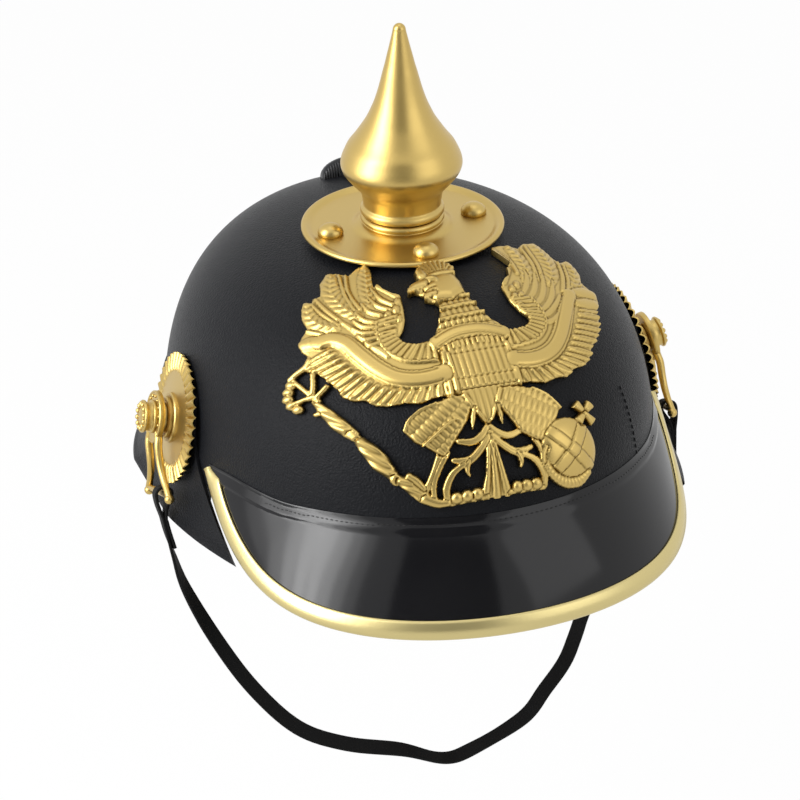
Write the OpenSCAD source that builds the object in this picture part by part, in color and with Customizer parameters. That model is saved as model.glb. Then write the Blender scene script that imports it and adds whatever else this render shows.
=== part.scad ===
// Spiked parade helmet. Front faces -Y, up is +Z, the origin is the centre of the head opening.

/* [Shell] */
// Half width of the shell at the opening
half_w = 97; // [90:1:104]
// Half length of the shell at the opening
half_l = 126; // [116:1:134]
// Height of the crown above the opening
crown_h = 105.5; // [98:0.5:114]
// Squareness of the crown's profile
crown_round = 3; // [2.6:0.1:3.4]
// Wall of the shell
shell_wall = 3; // [2.4:0.2:4]
// Height of the visor seam at the front
seam_front = 44; // [40:1:48]
// Height of the shell's lower rim at the sides and back
rim_side = 14; // [10:1:18]

/* [Front visor] */
// Thickness of the visor
visor_t = 2.2; // [1.8:0.1:2.6]
// Reach of the visor's edge in front of its corners
visor_reach = 109; // [104:1:114]
// Distance of the visor's corners in front of the side posts
visor_corner_y = 36.5; // [34:0.5:38]
// Height of the visor's corners
visor_corner_z = 31.5; // [30:0.5:33]
// Height of the visor's front edge
visor_edge_z = 7; // [4:0.5:10]
// Height of the sewn flange inside the shell
visor_flange_h = 9; // [7:0.5:12]
// Width of the brass trim seen from the front
trim_w = 5.6; // [4.5:0.1:6.5]
// Thickness of the trim's sheet
trim_t = 0.9; // [0.6:0.1:1.2]

/* [Neck guard] */
// Thickness of the neck guard
guard_t = 1.3; // [1.2:0.1:1.4]
// Half width of the neck guard's edge, whose sides run straight inside the strap
guard_side_w = 105.5; // [104:0.5:106]
// Distance of the neck guard's edge behind the centre
guard_back = 150; // [145:1:158]
// Height of the ears under the cockades
ear_top = 56; // [50:1:57]
// Height where the neck guard leaves the shell at the back
guard_top = 32; // [28:1:36]

/* [Rear spine] */
// Width of the rear spine
spine_w = 11; // [8:0.5:14]
// Thickness of the rear spine
spine_t = 1.6; // [1.2:0.1:2.4]
// Width of the ribbed arch at the spine's head
arch_w = 27; // [22:1:30]
// Height of the ribbed arch
arch_h = 9.5; // [7:0.5:11]
// Distance of the arch behind the spike's axis
arch_y = 71; // [66:1:76]

/* [Spike and plate] */
// Diameter of the base plate
plate_d = 80; // [76:1:86]
// Height of the plate's rim above the crown
plate_h = 2.5; // [2:0.5:4]
// Thickness of the plate's sheet
plate_t = 1.2; // [1:0.1:1.6]
// Radius of the circle of studs
stud_circle_r = 29.5; // [28:0.5:31]
// Diameter of a stud's dome
stud_d = 10; // [8:0.5:11]
// Diameter of the shank of a stud
stud_shank_d = 3; // [2.4:0.2:4]
// Diameter of the bead at the spike's neck
bead_d = 33; // [30:0.5:36]
// Length of the spike above its seat
spike_l = 78; // [70:1:88]
// Widest diameter of the spike
spike_d = 47.6; // [44:0.2:52]
// Height of the widest point above the spike's seat
spike_flare_h = 21.4; // [19:0.2:24]
// Diameter of the spike's threaded stud
spike_stud_d = 10; // [8:0.5:12]
// Radial running clearance of screwed and turning pieces
turn_gap = 0.05; // [0.02:0.01:0.1]

/* [Cockades and lugs] */
// Diameter of a cockade
cockade_d = 52; // [48:1:55]
// Number of flutes round a cockade
cockade_flutes = 42; // [36:1:48]
// Dishing of a cockade
cockade_rise = 3.4; // [2.8:0.2:3.8]
// Upward tilt of the side posts
post_tilt = 13; // [11:0.5:15]
// Height of the side posts
post_z = 38.3; // [36:0.5:41]
// Distance of the side posts in front of the spike's axis
post_y = 3; // [1:0.5:5]
// Diameter of a side post
post_d = 5; // [4:0.5:6]
// Diameter of a knob
knob_d = 13; // [11:0.5:15]
// Length of a knob
knob_l = 5; // [4:0.5:6.5]
// Distance from a post to its lug's bar
lug_l = 30; // [27:1:33]
// Distance between the legs of a lug at the bar
lug_w = 28; // [25:1:30]
// Thickness of a lug
lug_t = 2; // [1.6:0.1:2.4]
// Inward bend of a lug's legs
lug_bend = 11; // [8:1:13]
// Diameter of a lug's bar
bar_d = 2.6; // [2.2:0.1:3]

/* [Chin strap] */
// Width of the strap
strap_w = 6; // [5:0.5:8]
// Thickness of the strap
strap_t = 1.2; // [1:0.1:1.6]
// Forward swing of the lugs as the strap hangs
hang_angle = 21; // [18:1:24]
// Place of the strap in front of the middle of the bars
strap_shift = 6.5; // [3:0.5:8]
// Clearance between the strap's loops and the bars, up and down
loop_gap = 0.85; // [0.8:0.05:1.2]
// Clearance between them across, for the play that the swinging lugs need
loop_play = 1.4; // [1.3:0.05:1.6]

/* [Lining] */
// Height of the sweatband
band_h = 30; // [26:1:34]
// Thickness of the sweatband
band_t = 1.6; // [1.2:0.1:2.2]
// Gap between the sweatband and the shell
band_gap = 5; // [4:0.5:7]
// Number of lining tongues
tongues = 8; // [6:1:10]
// Thickness of the lining tongues
tongue_t = 1.2; // [1:0.1:1.6]

/* [Eagle plate] */
// Thickness of the plate's sheet
eagle_t = 1.4; // [1.2:0.1:1.8]
// Height of the raised feathers and ribbons over the sheet
eagle_relief = 1.1; // [0.8:0.1:1.4]
// Width of the plate over its wings
eagle_w = 121; // [112:1:126]
// Tilt of the direction that the plate is drawn along
eagle_tilt = 40; // [38:1:42]
// Depth below the opening of the point that the plate is drawn from
eagle_drop = 12; // [10:0.5:14]
// Sideways place of the plate's middle line
eagle_x = 0; // [-2:0.5:2]

/* [Hidden] */

$fn = 64;
// Clearance between pieces that seat on each other, and round shanks in plain holes
seat_gap = 0.3;
hole_gap = 0.3;
// Clearance between the shell and the neck guard
guard_gap = 0.2;
shell_base = -2.5;
crown_rise = crown_h - shell_base;
columns = 48;
rows = 11;
plate_z = crown_h - 1.6;
plate_rim_z = crown_h + plate_h;
spike_z = plate_rim_z + 4;
spike_hole_r = spike_stud_d / 2 + turn_gap;
corner_angle = acos(visor_corner_y / half_l);
seam_drop = 9;
seam_drop_angle = 60;
eagle_screw_spots = [[-27, 19], [27, 19]];
spine_rivet_z = [38, 74];
gold = [0.83, 0.66, 0.33];
brass = [0.85, 0.78, 0.5];
black = [0.16, 0.16, 0.17];
gloss_black = [0.08, 0.08, 0.09];
steel = [0.6, 0.6, 0.62];
leather = [0.5, 0.36, 0.24];

// A value between 0 and 1 with a flat start and a flat end
function ease(t) = let(u = min(1, max(0, t))) u * u * (3 - 2 * u);
function mix(a, b, t) = a * (1 - t) + b * t;
function unit(v) = v / max(norm(v), 0.000001);

// The crown's profile: radius as a share of the opening's, at the height z
function crown_share(z, grow) =
    let(h = min(1, max(0, (z - shell_base) / (crown_rise + grow))))
    pow(1 - pow(h, crown_round), 1 / crown_round);
// A point of the shell's surface, or of one grown by a distance, at an angle from the front
function shell_pt(angle, z, grow = 0) =
    let(s = crown_share(z, grow))
    [(half_w + grow) * s * sin(angle), -(half_l + grow) * s * cos(angle), z];
// The same surface by its profile angle, even at the flat crown
function crown_pt(angle, lift, grow = 0) =
    let(s = pow(cos(lift), 2 / crown_round), h = pow(sin(lift), 2 / crown_round))
    [(half_w + grow) * s * sin(angle), -(half_l + grow) * s * cos(angle),
        shell_base + (crown_rise + grow) * h];
function shell_normal(p) =
    let(s = norm([p[0] / half_w, p[1] / half_l]), h = (p[2] - shell_base) / crown_rise)
    unit([s * p[0] / (half_w * half_w), s * p[1] / (half_l * half_l), h * h / crown_rise]);
function lift_at(z, grow = 0) = asin(pow(max(0, (z - shell_base) / (crown_rise + grow)), crown_round / 2));
// The height of the surface over a point of the plan
function shell_z(x, y, grow = 0) =
    let(s = norm([x / (half_w + grow), y / (half_l + grow)]))
    shell_base + (crown_rise + grow) * pow(max(0, 1 - pow(min(s, 1), crown_round)), 1 / crown_round);
function off_front(angle) = min(abs(angle), 360 - abs(angle));
function seam_z(angle) = seam_front - seam_drop * pow(off_front(angle) / seam_drop_angle, 2);
function rim_z(angle) =
    let(a = off_front(angle))
    mix(seam_z(min(a, corner_angle)), rim_side, ease((a - corner_angle - 1) / 9));

// A closed sheet between two grids of points, open or closed along its length
module sheet(outer, inner, closed = false) {
    n = len(outer);
    m = len(outer[0]);
    count = n * m;
    spans = closed ? n : n - 1;
    points = concat([for (r = outer) for (p = r) p], [for (r = inner) for (p = r) p]);
    function at(i, j, side) = (i % n) * m + j + side * count;
    faces = concat(
        [for (i = [0 : spans - 1]) for (j = [0 : m - 2]) each [
            [at(i, j, 0), at(i, j + 1, 0), at(i + 1, j, 0)],
            [at(i, j + 1, 0), at(i + 1, j + 1, 0), at(i + 1, j, 0)],
            [at(i, j, 1), at(i + 1, j, 1), at(i, j + 1, 1)],
            [at(i, j + 1, 1), at(i + 1, j, 1), at(i + 1, j + 1, 1)]]],
        [for (i = [0 : spans - 1]) each [
            [at(i, 0, 0), at(i + 1, 0, 0), at(i, 0, 1)],
            [at(i + 1, 0, 0), at(i + 1, 0, 1), at(i, 0, 1)],
            [at(i, m - 1, 0), at(i, m - 1, 1), at(i + 1, m - 1, 0)],
            [at(i + 1, m - 1, 0), at(i, m - 1, 1), at(i + 1, m - 1, 1)]]],
        closed ? [] : [for (j = [0 : m - 2]) each [
            [at(0, j, 0), at(0, j, 1), at(0, j + 1, 0)],
            [at(0, j + 1, 0), at(0, j, 1), at(0, j + 1, 1)],
            [at(n - 1, j, 0), at(n - 1, j + 1, 0), at(n - 1, j, 1)],
            [at(n - 1, j + 1, 0), at(n - 1, j + 1, 1), at(n - 1, j, 1)]]]);
    polyhedron(points = points, faces = faces, convexity = 8);
}
// The grid moved along its own normals by a distance
function lifted(grid, d) =
    let(n = len(grid), m = len(grid[0]))
    [for (i = [0 : n - 1]) [for (j = [0 : m - 1])
        let(along = grid[min(i + 1, n - 1)][j] - grid[max(i - 1, 0)][j],
            across = grid[i][min(j + 1, m - 1)] - grid[i][max(j - 1, 0)])
        grid[i][j] + d * unit(cross(across, along))]];

// Places children in a side post's frame, +Z outwards along the post and +Y up
module at_post(side) {
    translate([side * post_x, -post_y, post_z])
        rotate([0, side * (90 - post_tilt), 0])
            rotate([0, 0, side * 90])
                children();
}
post_x = (half_w + guard_t + guard_gap) * crown_share(post_z, 0) - 0.5;

module shell() {
    angles = [for (i = [0 : columns - 1]) i * 360 / columns];
    top_share = 3 / half_w;
    top_lift = acos(pow(top_share, crown_round / 2));
    function skin(grow) = [for (a = angles) [for (j = [0 : rows])
        crown_pt(a, mix(lift_at(rim_z(a), grow), top_lift, j / rows), grow)]];
    color(black) difference() {
        sheet(skin(0), skin(-shell_wall), true);
        translate([0, 0, crown_h - 12])
            cylinder(r = boss_hole_r, h = 24);
        stud_spots()
            translate([0, 0, crown_h - 16])
                cylinder(d = stud_shank_d + 2 * hole_gap, h = 30);
        for (side = [-1, 1])
            at_post(side)
                translate([0, 0, -14])
                    cylinder(d = post_d + 2 * hole_gap, h = 20);
        eagle_spots()
            translate([0, 0, -10])
                cylinder(d = eagle_screw_d + 2 * hole_gap, h = 20);
        spine_holes();
        band_spots()
            translate([0, 0, -1])
                cylinder(d = band_rivet_d + 2 * turn_gap, h = 2.6);
    }
}
module stud_spots() {
    for (i = [0 : 3])
        rotate([0, 0, i * 90])
            translate([stud_circle_r, 0, 0])
                children();
}

// The visor's lower edge, at a turn of -90 to 90 from the front
function visor_edge(turn) =
    let(corner_w = half_w * sin(corner_angle), t = 1 - cos(turn), side_swell = 0.079 * visor_reach,
        front_swell = 0.0587 * visor_reach)
    [corner_w * sin(turn) + side_swell * (sin(3 * turn) + sin(turn)),
        -visor_corner_y - visor_reach * cos(turn) - front_swell * (cos(3 * turn) - cos(turn)),
        visor_edge_z + (visor_corner_z - visor_edge_z) * (1.59 * t * t - 0.59 * t)];
visor_steps = 40;
visor_end = 86;
visor_turns = [for (i = [0 : visor_steps]) visor_end * (2 * i / visor_steps - 1)];
visor_rows = 5;
function visor_top(turn) =
    let(a = turn * corner_angle / 90) shell_pt(a, seam_z(a) - seat_gap, -0.5);
// The visor's top face bulges a little between the seam and the edge
function visor_row(turn, k) =
    let(a = visor_top(turn), b = visor_edge(turn), bulge = 2.2 * sin(180 * k) * cos(turn * 0.98))
    mix(a, b, k) + bulge * unit([sin(turn), -cos(turn), 0.7]);
visor_face = [for (turn = visor_turns) [for (k = [0 : visor_rows]) visor_row(turn, k / visor_rows)]];
module front_visor() {
    back_face = lifted(visor_face, -visor_t);
    function flange(turn, grow, dz) =
        let(a = turn * corner_angle / 90) shell_pt(a, seam_z(a) + dz, grow);
    inset = -shell_wall - 0.7;
    outer = [for (i = [0 : visor_steps]) concat(
        [flange(visor_turns[i], inset, visor_flange_h), flange(visor_turns[i], inset, -seat_gap)],
        visor_face[i])];
    inner = [for (i = [0 : visor_steps]) concat(
        [flange(visor_turns[i], inset - 1.8, visor_flange_h), flange(visor_turns[i], inset - 1.8, 0.2),
            flange(visor_turns[i], inset - 1.8, -2.4)],
        [for (k = [1 : visor_rows]) back_face[i][k]])];
    color(gloss_black) sheet(inner, outer);
}

// The trim is a folded strip round the visor's edge, with a groove for the visor
module visor_trim() {
    groove = visor_t / 2 + 0.3;
    out = groove + trim_t;
    function frame(i) =
        let(edge = visor_face[i][visor_rows],
            along = unit(visor_face[min(i + 1, visor_steps)][visor_rows]
                - visor_face[max(i - 1, 0)][visor_rows]),
            back = visor_face[i][visor_rows - 1] - edge,
            in = unit(back - along * (back * along)),
            up = unit(cross(along, in)))
        [edge - up * visor_t / 2, in, up, min(trim_w - 1.2, 0.8 * norm(visor_face[i][0] - edge))];
    function put(f, p) = f[0] + f[1] * (p[0] > 0.2 ? p[0] * f[3] : p[0]) + f[2] * p[1];
    outside = [[1, out - 0.3], [0.5, out + 0.25], [0, out], [-0.9, out * 0.6], [-1.2, 0],
        [-0.9, -out * 0.6], [0, -out], [0.6, -out]];
    inside = [[1, groove], [0.5, groove], [0.1, groove], [-0.2, groove * 0.5], [-0.2, 0],
        [-0.2, -groove * 0.5], [0.1, -groove], [0.6, -groove]];
    frames = [for (i = [0 : visor_steps]) frame(i)];
    color(brass) sheet([for (f = frames) [for (p = inside) put(f, p)]],
        [for (f = frames) [for (p = outside) put(f, p)]]);
}

// The neck guard: a flared skirt round the back whose ears rise under the cockades
guard_columns = 52;
guard_rows = 8;
guard_centre_y = 15;
guard_front_reach = 172;
// Above 1, a part of each side is straight
guard_fullness = 1.019;
function guard_edge(a) =
    let(reach = cos(a) > 0 ? guard_front_reach : guard_back - guard_centre_y,
        y = guard_centre_y - reach * cos(a))
    [sign(sin(a)) * guard_side_w * min(1, guard_fullness * abs(sin(a))), y, 2.2 - 0.113 * y];
function guard_start(v) = 80 - 4 * v - 17 * v * v * v;
function guard_top_z(a) = mix(ear_top, guard_top, ease((off_front(a) - 100) / 22));
function guard_pt(c, v) =
    let(start = guard_start(v), a = mix(start, 360 - start, c),
        edge = guard_edge(a), z = mix(guard_top_z(a), edge[2], v),
        ear = ease((110 - off_front(a)) / 20),
        flare = pow(min(1, max(0, (guard_top - z) / (guard_top - edge[2]))), mix(2, 2.9, ear)))
    mix(shell_pt(a, z, guard_t + guard_gap), [edge[0], edge[1], z], flare);
guard_face = [for (i = [0 : guard_columns]) [for (j = [0 : guard_rows])
    guard_pt(i / guard_columns, j / guard_rows)]];
module neck_guard() {
    color(black) difference() {
        sheet(lifted(guard_face, -guard_t), guard_face);
        for (side = [-1, 1])
            at_post(side)
                translate([0, 0, -14])
                    cylinder(d = post_d + 2 * hole_gap, h = 20);
    }
}

// A band down the middle of the back, with a ribbed arch over its head
spine_top_y = plate_d / 2 + 2;
spine_low_z = guard_top + 2;
module rear_spine() {
    steps = 14;
    low = lift_at(spine_low_z);
    high = lift_at(shell_z(0, spine_top_y));
    function band(grow) = [for (i = [0 : steps]) [for (k = [-1, -0.5, 0, 0.5, 1])
        let(p = crown_pt(180, mix(low, high, i / steps), grow + (abs(k) == 1 ? -0.4 * sign(grow - 1) : 0)),
            q = [k * spine_w / 2, p[1], p[2]])
        [q[0], q[1] * sqrt(1 - pow(q[0] / half_w, 2)), q[2]]]];
    color(black) {
        difference() {
            sheet(band(seat_gap + spine_t), band(seat_gap));
            spine_holes();
        }
        spine_arch();
    }
}
module spine_arch() {
    ribs = 13;
    depth = 7;
    slope = 16;
    half = arch_w / 2 - 0.6;
    function arc(w, h, n) = [for (i = [0 : n]) [w * cos(180 * i / n), h * sin(180 * i / n)]];
    translate([0, arch_y, shell_z(0, arch_y) + seat_gap + spine_t - 0.6])
        rotate([90 - slope, 0, 0]) {
            linear_extrude(depth, center = true)
                difference() {
                    polygon(arc(half, arch_h - 0.6, 28));
                    translate([0, 1.6])
                        polygon(arc(half - 8, (arch_h - 1) * 0.35, 14));
                }
            linear_extrude(depth + 1, center = true)
                intersection() {
                    for (i = [0 : ribs - 1])
                        let(a = 8 + 164 * i / (ribs - 1))
                            translate([cos(a) * half, sin(a) * (arch_h - 0.6)])
                                circle(d = 1.5, $fn = 12);
                    translate([-arch_w, 0])
                        square([2 * arch_w, arch_w]);
                }
        }
}
spine_rivet_d = 2.6;
// Places children on the shell's surface under the spine, +Z outwards
module spine_spots() {
    for (z = spine_rivet_z)
        let(p = shell_pt(180, z), out = shell_normal(p))
            translate(p)
                rotate([0, acos(out[2]), atan2(out[1], out[0])])
                    children();
}
module spine_holes() {
    spine_spots()
        translate([0, 0, -12])
            cylinder(d = spine_rivet_d + 2 * hole_gap, h = 20);
}
module spine_rivets() {
    face = seat_gap + spine_t;
    color(steel) spine_spots() {
        translate([0, 0, -shell_wall - 2])
            cylinder(d = spine_rivet_d, h = shell_wall + face + 3);
        translate([0, 0, face + 0.4])
            cylinder(d1 = 6.4, d2 = 3.6, h = 1.3);
        translate([0, 0, -shell_wall - 2])
            cylinder(d = 6, h = 0.9);
    }
}

// The base plate: a rolled rim, a shallow dish and a collar for the spike
boss_r = spike_hole_r + 3.4;
boss_hole_r = boss_r + seat_gap;
floor_z = plate_rim_z - 1.3;
module spike_plate() {
    rim_r = plate_d / 2;
    bead_r = bead_d / 2;
    top = spike_z - seat_gap;
    under = floor_z - plate_t;
    color(gold) difference() {
        rotate_extrude($fn = 96)
            polygon([[boss_hole_r, under], [boss_hole_r, top], [bead_r - 1.6, top],
                [bead_r - 0.5, top - 0.5], [bead_r, top - 1.5], [bead_r - 0.3, top - 2.3],
                [bead_r - 0.9, top - 2.8], [bead_r + 0.8, top - 3.4], [bead_r + 3, floor_z + 0.4],
                [bead_r + 5, floor_z], [rim_r - 5, floor_z],
                [rim_r - 3.6, floor_z + 0.3], [rim_r - 2.4, plate_rim_z - 0.3], [rim_r - 1.2, plate_rim_z],
                [rim_r - 0.3, plate_rim_z - 0.5], [rim_r, plate_rim_z - 1.4], [rim_r, plate_z + 0.6],
                [rim_r - plate_t, plate_z + 0.6], [rim_r - plate_t - 0.4, under + 0.2],
                [rim_r - 4.4, under]]);
        stud_spots()
            translate([0, 0, crown_h - 16])
                cylinder(d = stud_shank_d + 2 * hole_gap, h = 30);
    }
}
module plate_studs() {
    dome_h = 3.4;
    dome_r = (stud_d * stud_d / 4 + dome_h * dome_h) / (2 * dome_h);
    color(gold) stud_spots() {
        translate([0, 0, floor_z])
            rotate_extrude($fn = 48)
                polygon(concat([[0, 0], [stud_d / 2, 0]],
                    [for (i = [1 : 7]) let(r = stud_d / 2 * (1 - i / 8))
                        [r, sqrt(dome_r * dome_r - r * r) + dome_h - dome_r]], [[0, dome_h]]));
        translate([0, 0, crown_h - shell_wall - 7])
            cylinder(d = stud_shank_d, h = floor_z - crown_h + shell_wall + 7.5);
    }
}
module stud_nuts() {
    color(steel) stud_spots()
        translate([0, 0, crown_h - shell_wall - 5.6])
            difference() {
                union() {
                    cylinder(d = 6.4, h = 2.4, $fn = 6);
                    translate([0, 0, 2.4])
                        cylinder(d = 9, h = 0.8);
                }
                translate([0, 0, -1])
                    cylinder(d = stud_shank_d + 2 * turn_gap, h = 8);
            }
}
// The threaded boss under the crown that the spike screws into
module spike_socket() {
    flange_z = crown_h - shell_wall - seat_gap - 1.6;
    color(steel) difference() {
        union() {
            translate([0, 0, flange_z - 9])
                cylinder(r = boss_r, h = spike_z - flange_z + 8);
            translate([0, 0, flange_z - 1])
                cylinder(r = boss_r + 8, h = 1.6);
        }
        translate([0, 0, flange_z - 20])
            cylinder(r = spike_hole_r, h = 60);
    }
}
// The spike's side above its widest point, as shares of the height left and of the widest radius
spike_side = [[0.04, 0.98], [0.08, 0.94], [0.13, 0.88], [0.19, 0.77], [0.26, 0.655], [0.32, 0.565],
    [0.39, 0.485], [0.45, 0.425], [0.52, 0.37], [0.58, 0.33], [0.65, 0.287], [0.71, 0.247], [0.78, 0.206],
    [0.84, 0.17], [0.91, 0.13], [0.955, 0.106]];
module spike() {
    flare_r = spike_d / 2;
    bead_r = bead_d / 2;
    tip_r = 2.5;
    side_h = spike_l - spike_flare_h;
    side = [for (p = spike_side) [flare_r * p[1], spike_flare_h + side_h * p[0]]];
    tip = [for (a = [0 : 18 : 90]) [tip_r * cos(a), spike_l - tip_r + tip_r * sin(a)]];
    under = [[bead_r - 1.6, 0], [bead_r - 0.5, 0.5], [bead_r, 1.5], [bead_r, 2.5], [bead_r - 0.5, 3.4],
        [bead_r - 1.1, 3.9], [bead_r - 1.2, 5], [bead_r - 0.9, 7], [bead_r - 0.2, 9.2], [bead_r + 0.9, 11.2],
        [bead_r + 2.4, 12.6], [flare_r - 4, 15.2], [flare_r - 1.9, 17.2], [flare_r - 0.6, 19.2],
        [flare_r, spike_flare_h]];
    color(gold) translate([0, 0, spike_z]) {
        rotate_extrude($fn = 96)
            polygon(concat([[0, 0]], under, side, [for (p = tip) p[0] < 0.01 ? [0, p[1]] : p]));
        translate([0, 0, -18])
            cylinder(d = spike_stud_d, h = 18.5);
    }
}

// Cockade: a fluted saucer with two raised rings
module cockade(side) {
    rim_r = cockade_d / 2;
    sheet_t = 0.7;
    n = 2 * cockade_flutes;
    // radius, height and depth of the flutes there
    face = [[4, cockade_rise, 0], [rim_r * 0.42, cockade_rise - 0.2, 0], [rim_r * 0.78, 1.9, 0.2],
        [rim_r, 1.3, 0.4]];
    grid = [for (i = [0 : n - 1])
        let(a = i * 360 / n, out = (i % 2 == 0) ? 1 : -1)
        [for (f = face)
            let(r = f[0] - (f[0] == rim_r && out < 0 ? 1 : 0))
            [r * cos(a), r * sin(a), f[1] + out * f[2]]]];
    back = [for (r = grid) [for (p = r) [p[0], p[1], p[2] - sheet_t]]];
    color(gold) at_post(side) difference() {
        union() {
            sheet(back, grid, true);
            translate([0, 0, cockade_rise - 0.6])
                cylinder(r = 9.6, h = 1.5);
            translate([0, 0, cockade_rise - 0.6])
                cylinder(r = 8, h = collar_z - cockade_rise + 0.5);
        }
        translate([0, 0, -10])
            cylinder(d = post_d + 2 * hole_gap, h = 30);
    }
}
// Heights along a post from its origin at the shell's side
collar_z = cockade_rise + 3;
collar_t = 1.9;
lug_seat = collar_z + collar_t + turn_gap;
knob_seat = lug_seat + lug_t + turn_gap;
nut_z = -7;
module post(side) {
    color(steel) at_post(side) {
        translate([0, 0, nut_z - 1])
            cylinder(d = post_d, h = knob_seat + knob_l - 0.4 - nut_z);
        translate([0, 0, collar_z])
            cylinder(d = post_d + 5, h = collar_t);
    }
}
module post_nut(side) {
    color(steel) at_post(side)
        translate([0, 0, nut_z])
            difference() {
                cylinder(d = 10.5, h = 1.9);
                translate([0, 0, -1])
                    cylinder(d = post_d + 2 * turn_gap, h = 5);
            }
}
lug_top_r = 10.4;
lug_waist = 12;
module lug(side) {
    leg = 3.2;
    inner = 5.4;
    color(gold) at_post(side)
        rotate([0, 0, -side * hang_angle])
            translate([0, 0, lug_seat]) {
                difference() {
                    union() {
                        cylinder(r = lug_top_r, h = lug_t);
                        linear_extrude(lug_t)
                            polygon([[-8.2, -5], [8.2, -5], [inner + leg, -lug_waist],
                                [-inner - leg, -lug_waist]]);
                        for (a = [-40 : 26 : 220])
                            translate([9.2 * cos(a), 9.2 * sin(a), lug_t])
                                sphere(d = 2, $fn = 16);
                    }
                    translate([0, 0, -5])
                        cylinder(d = post_d + 2 * turn_gap, h = 20);
                    translate([0, 0, -5])
                        linear_extrude(20)
                            polygon([[-3.5, -7.2], [0, -6.4], [3.5, -7.2], [inner, -lug_waist - 1],
                                [-inner, -lug_waist - 1]]);
                }
                translate([0, 0.3 - lug_waist, 0])
                    rotate([lug_bend, 0, 0])
                        lug_legs(inner, leg);
            }
}
lug_drop = lug_l - lug_waist;
module lug_legs(inner, leg) {
    half = lug_w / 2;
    for (s = [-1, 1]) {
        linear_extrude(lug_t)
            polygon([[s * inner, 0.4], [s * (inner + leg), 0.4], [s * (inner + leg + 1.4), -lug_drop * 0.5],
                [s * (half + leg / 2), -lug_drop], [s * (half - leg / 2), -lug_drop],
                [s * (inner + 1), -lug_drop * 0.5]]);
        translate([s * half, -lug_drop, lug_t / 2])
            sphere(d = 4.6);
    }
    translate([0, -lug_drop, lug_t / 2])
        rotate([0, 90, 0])
            cylinder(d = bar_d, h = lug_w, center = true);
}
module knob(side) {
    bead_count = 12;
    color(gold) at_post(side)
        translate([0, 0, knob_seat])
            difference() {
                union() {
                    cylinder(d = knob_d - 1.6, h = knob_l - 0.4);
                    cylinder(d = knob_d, h = 1.2);
                    translate([0, 0, knob_l - 2.2])
                        cylinder(d = knob_d, h = 1.4);
                    for (i = [0 : bead_count - 1])
                        rotate([0, 0, i * 360 / bead_count])
                            translate([knob_d / 2 - 1.7, 0, knob_l - 1])
                                sphere(d = 2.4, $fn = 16);
                    translate([0, 0, knob_l - 0.6])
                        cylinder(d1 = 6, d2 = 4, h = 1);
                }
                translate([0, 0, -1])
                    cylinder(d = post_d + 2 * turn_gap, h = knob_l + 0.2);
            }
}

// Inside: sweatband, its rivets, the tongues of the lining and their gathering cord
band_base = 16;
band_rivet_d = 3;
// Rivets stand between the tongues of the lining, clear of the posts
band_rivet_angles = [for (i = [1 : tongues - 1]) let(a = i * 360 / tongues)
    if (abs(a - 90) > 12 && abs(a - 270) > 12) a];
function band_low(a) = mix(seam_front - 18, band_base, ease((off_front(a) - 40) / 60));
module sweatband() {
    steps = 44;
    inset = -shell_wall - band_gap;
    function ring(grow) = [for (i = [0 : steps - 1])
        let(a = i * 360 / steps, low = band_low(a))
        [for (j = [0 : 3]) shell_pt(a, low + band_h * j / 3, grow)]];
    color(leather) difference() {
        sheet(ring(inset), ring(inset - band_t), true);
        band_spots()
            translate([0, 0, -band_gap - band_t - 3])
                cylinder(d = band_rivet_d + 2 * hole_gap, h = band_gap + band_t);
    }
}
// Places children on the shell's inner wall, +Z outwards
module band_spots() {
    for (a = band_rivet_angles)
        let(z = max(band_low(a) + 6, rim_z(a) + 13), wall = shell_pt(a, z, -shell_wall),
            out = shell_normal(wall))
            translate(wall)
                rotate([0, acos(out[2]), atan2(out[1], out[0])])
                    children();
}
module band_rivets() {
    color(steel) band_spots() {
        translate([0, 0, -band_gap - band_t - 1])
            cylinder(d = band_rivet_d, h = band_gap + band_t + 2.4);
        translate([0, 0, -band_gap + 0.5])
            cylinder(d = 6, h = band_gap - 1.3);
        translate([0, 0, -band_gap - band_t - 2])
            cylinder(d = 6.4, h = 1);
    }
}
// The ring that the tongues are gathered to
ring_z = crown_h - 21.5;
ring_r = half_w / 4;
module crown_lining() {
    inset = -shell_wall - band_gap - band_t - 1.5;
    low_z = band_base + band_h - 4;
    span = 360 / tongues;
    steps = 5;
    // A tongue narrows from the band to the cord and sags clear of the crown
    function tongue_pt(a, v, w, grow) =
        let(half = span * mix(0.42, 0.34, v),
            foot = shell_pt(a + half * w, low_z, inset + grow),
            head = [ring_r * sin(a + half * w), -ring_r * cos(a + half * w), ring_z + grow],
            belly = sin(180 * v * 0.5))
        [mix(foot[0], head[0], v * v), mix(foot[1], head[1], v * v), mix(low_z, ring_z + grow, belly)];
    color(leather) for (i = [0 : tongues - 1])
        let(a = (i + 0.5) * span)
            sheet([for (w = [-1, -0.34, 0.34, 1]) [for (j = [0 : steps]) tongue_pt(a, j / steps, w, 0)]],
                [for (w = [-1, -0.34, 0.34, 1])
                    [for (j = [0 : steps]) tongue_pt(a, j / steps, w, -tongue_t)]]);
}
module lining_cord() {
    cord_d = 2;
    color(black) translate([0, 0, ring_z - tongue_t - cord_d / 2 - 0.4])
        rotate_extrude()
            translate([ring_r, 0])
                circle(d = cord_d);
}

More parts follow.
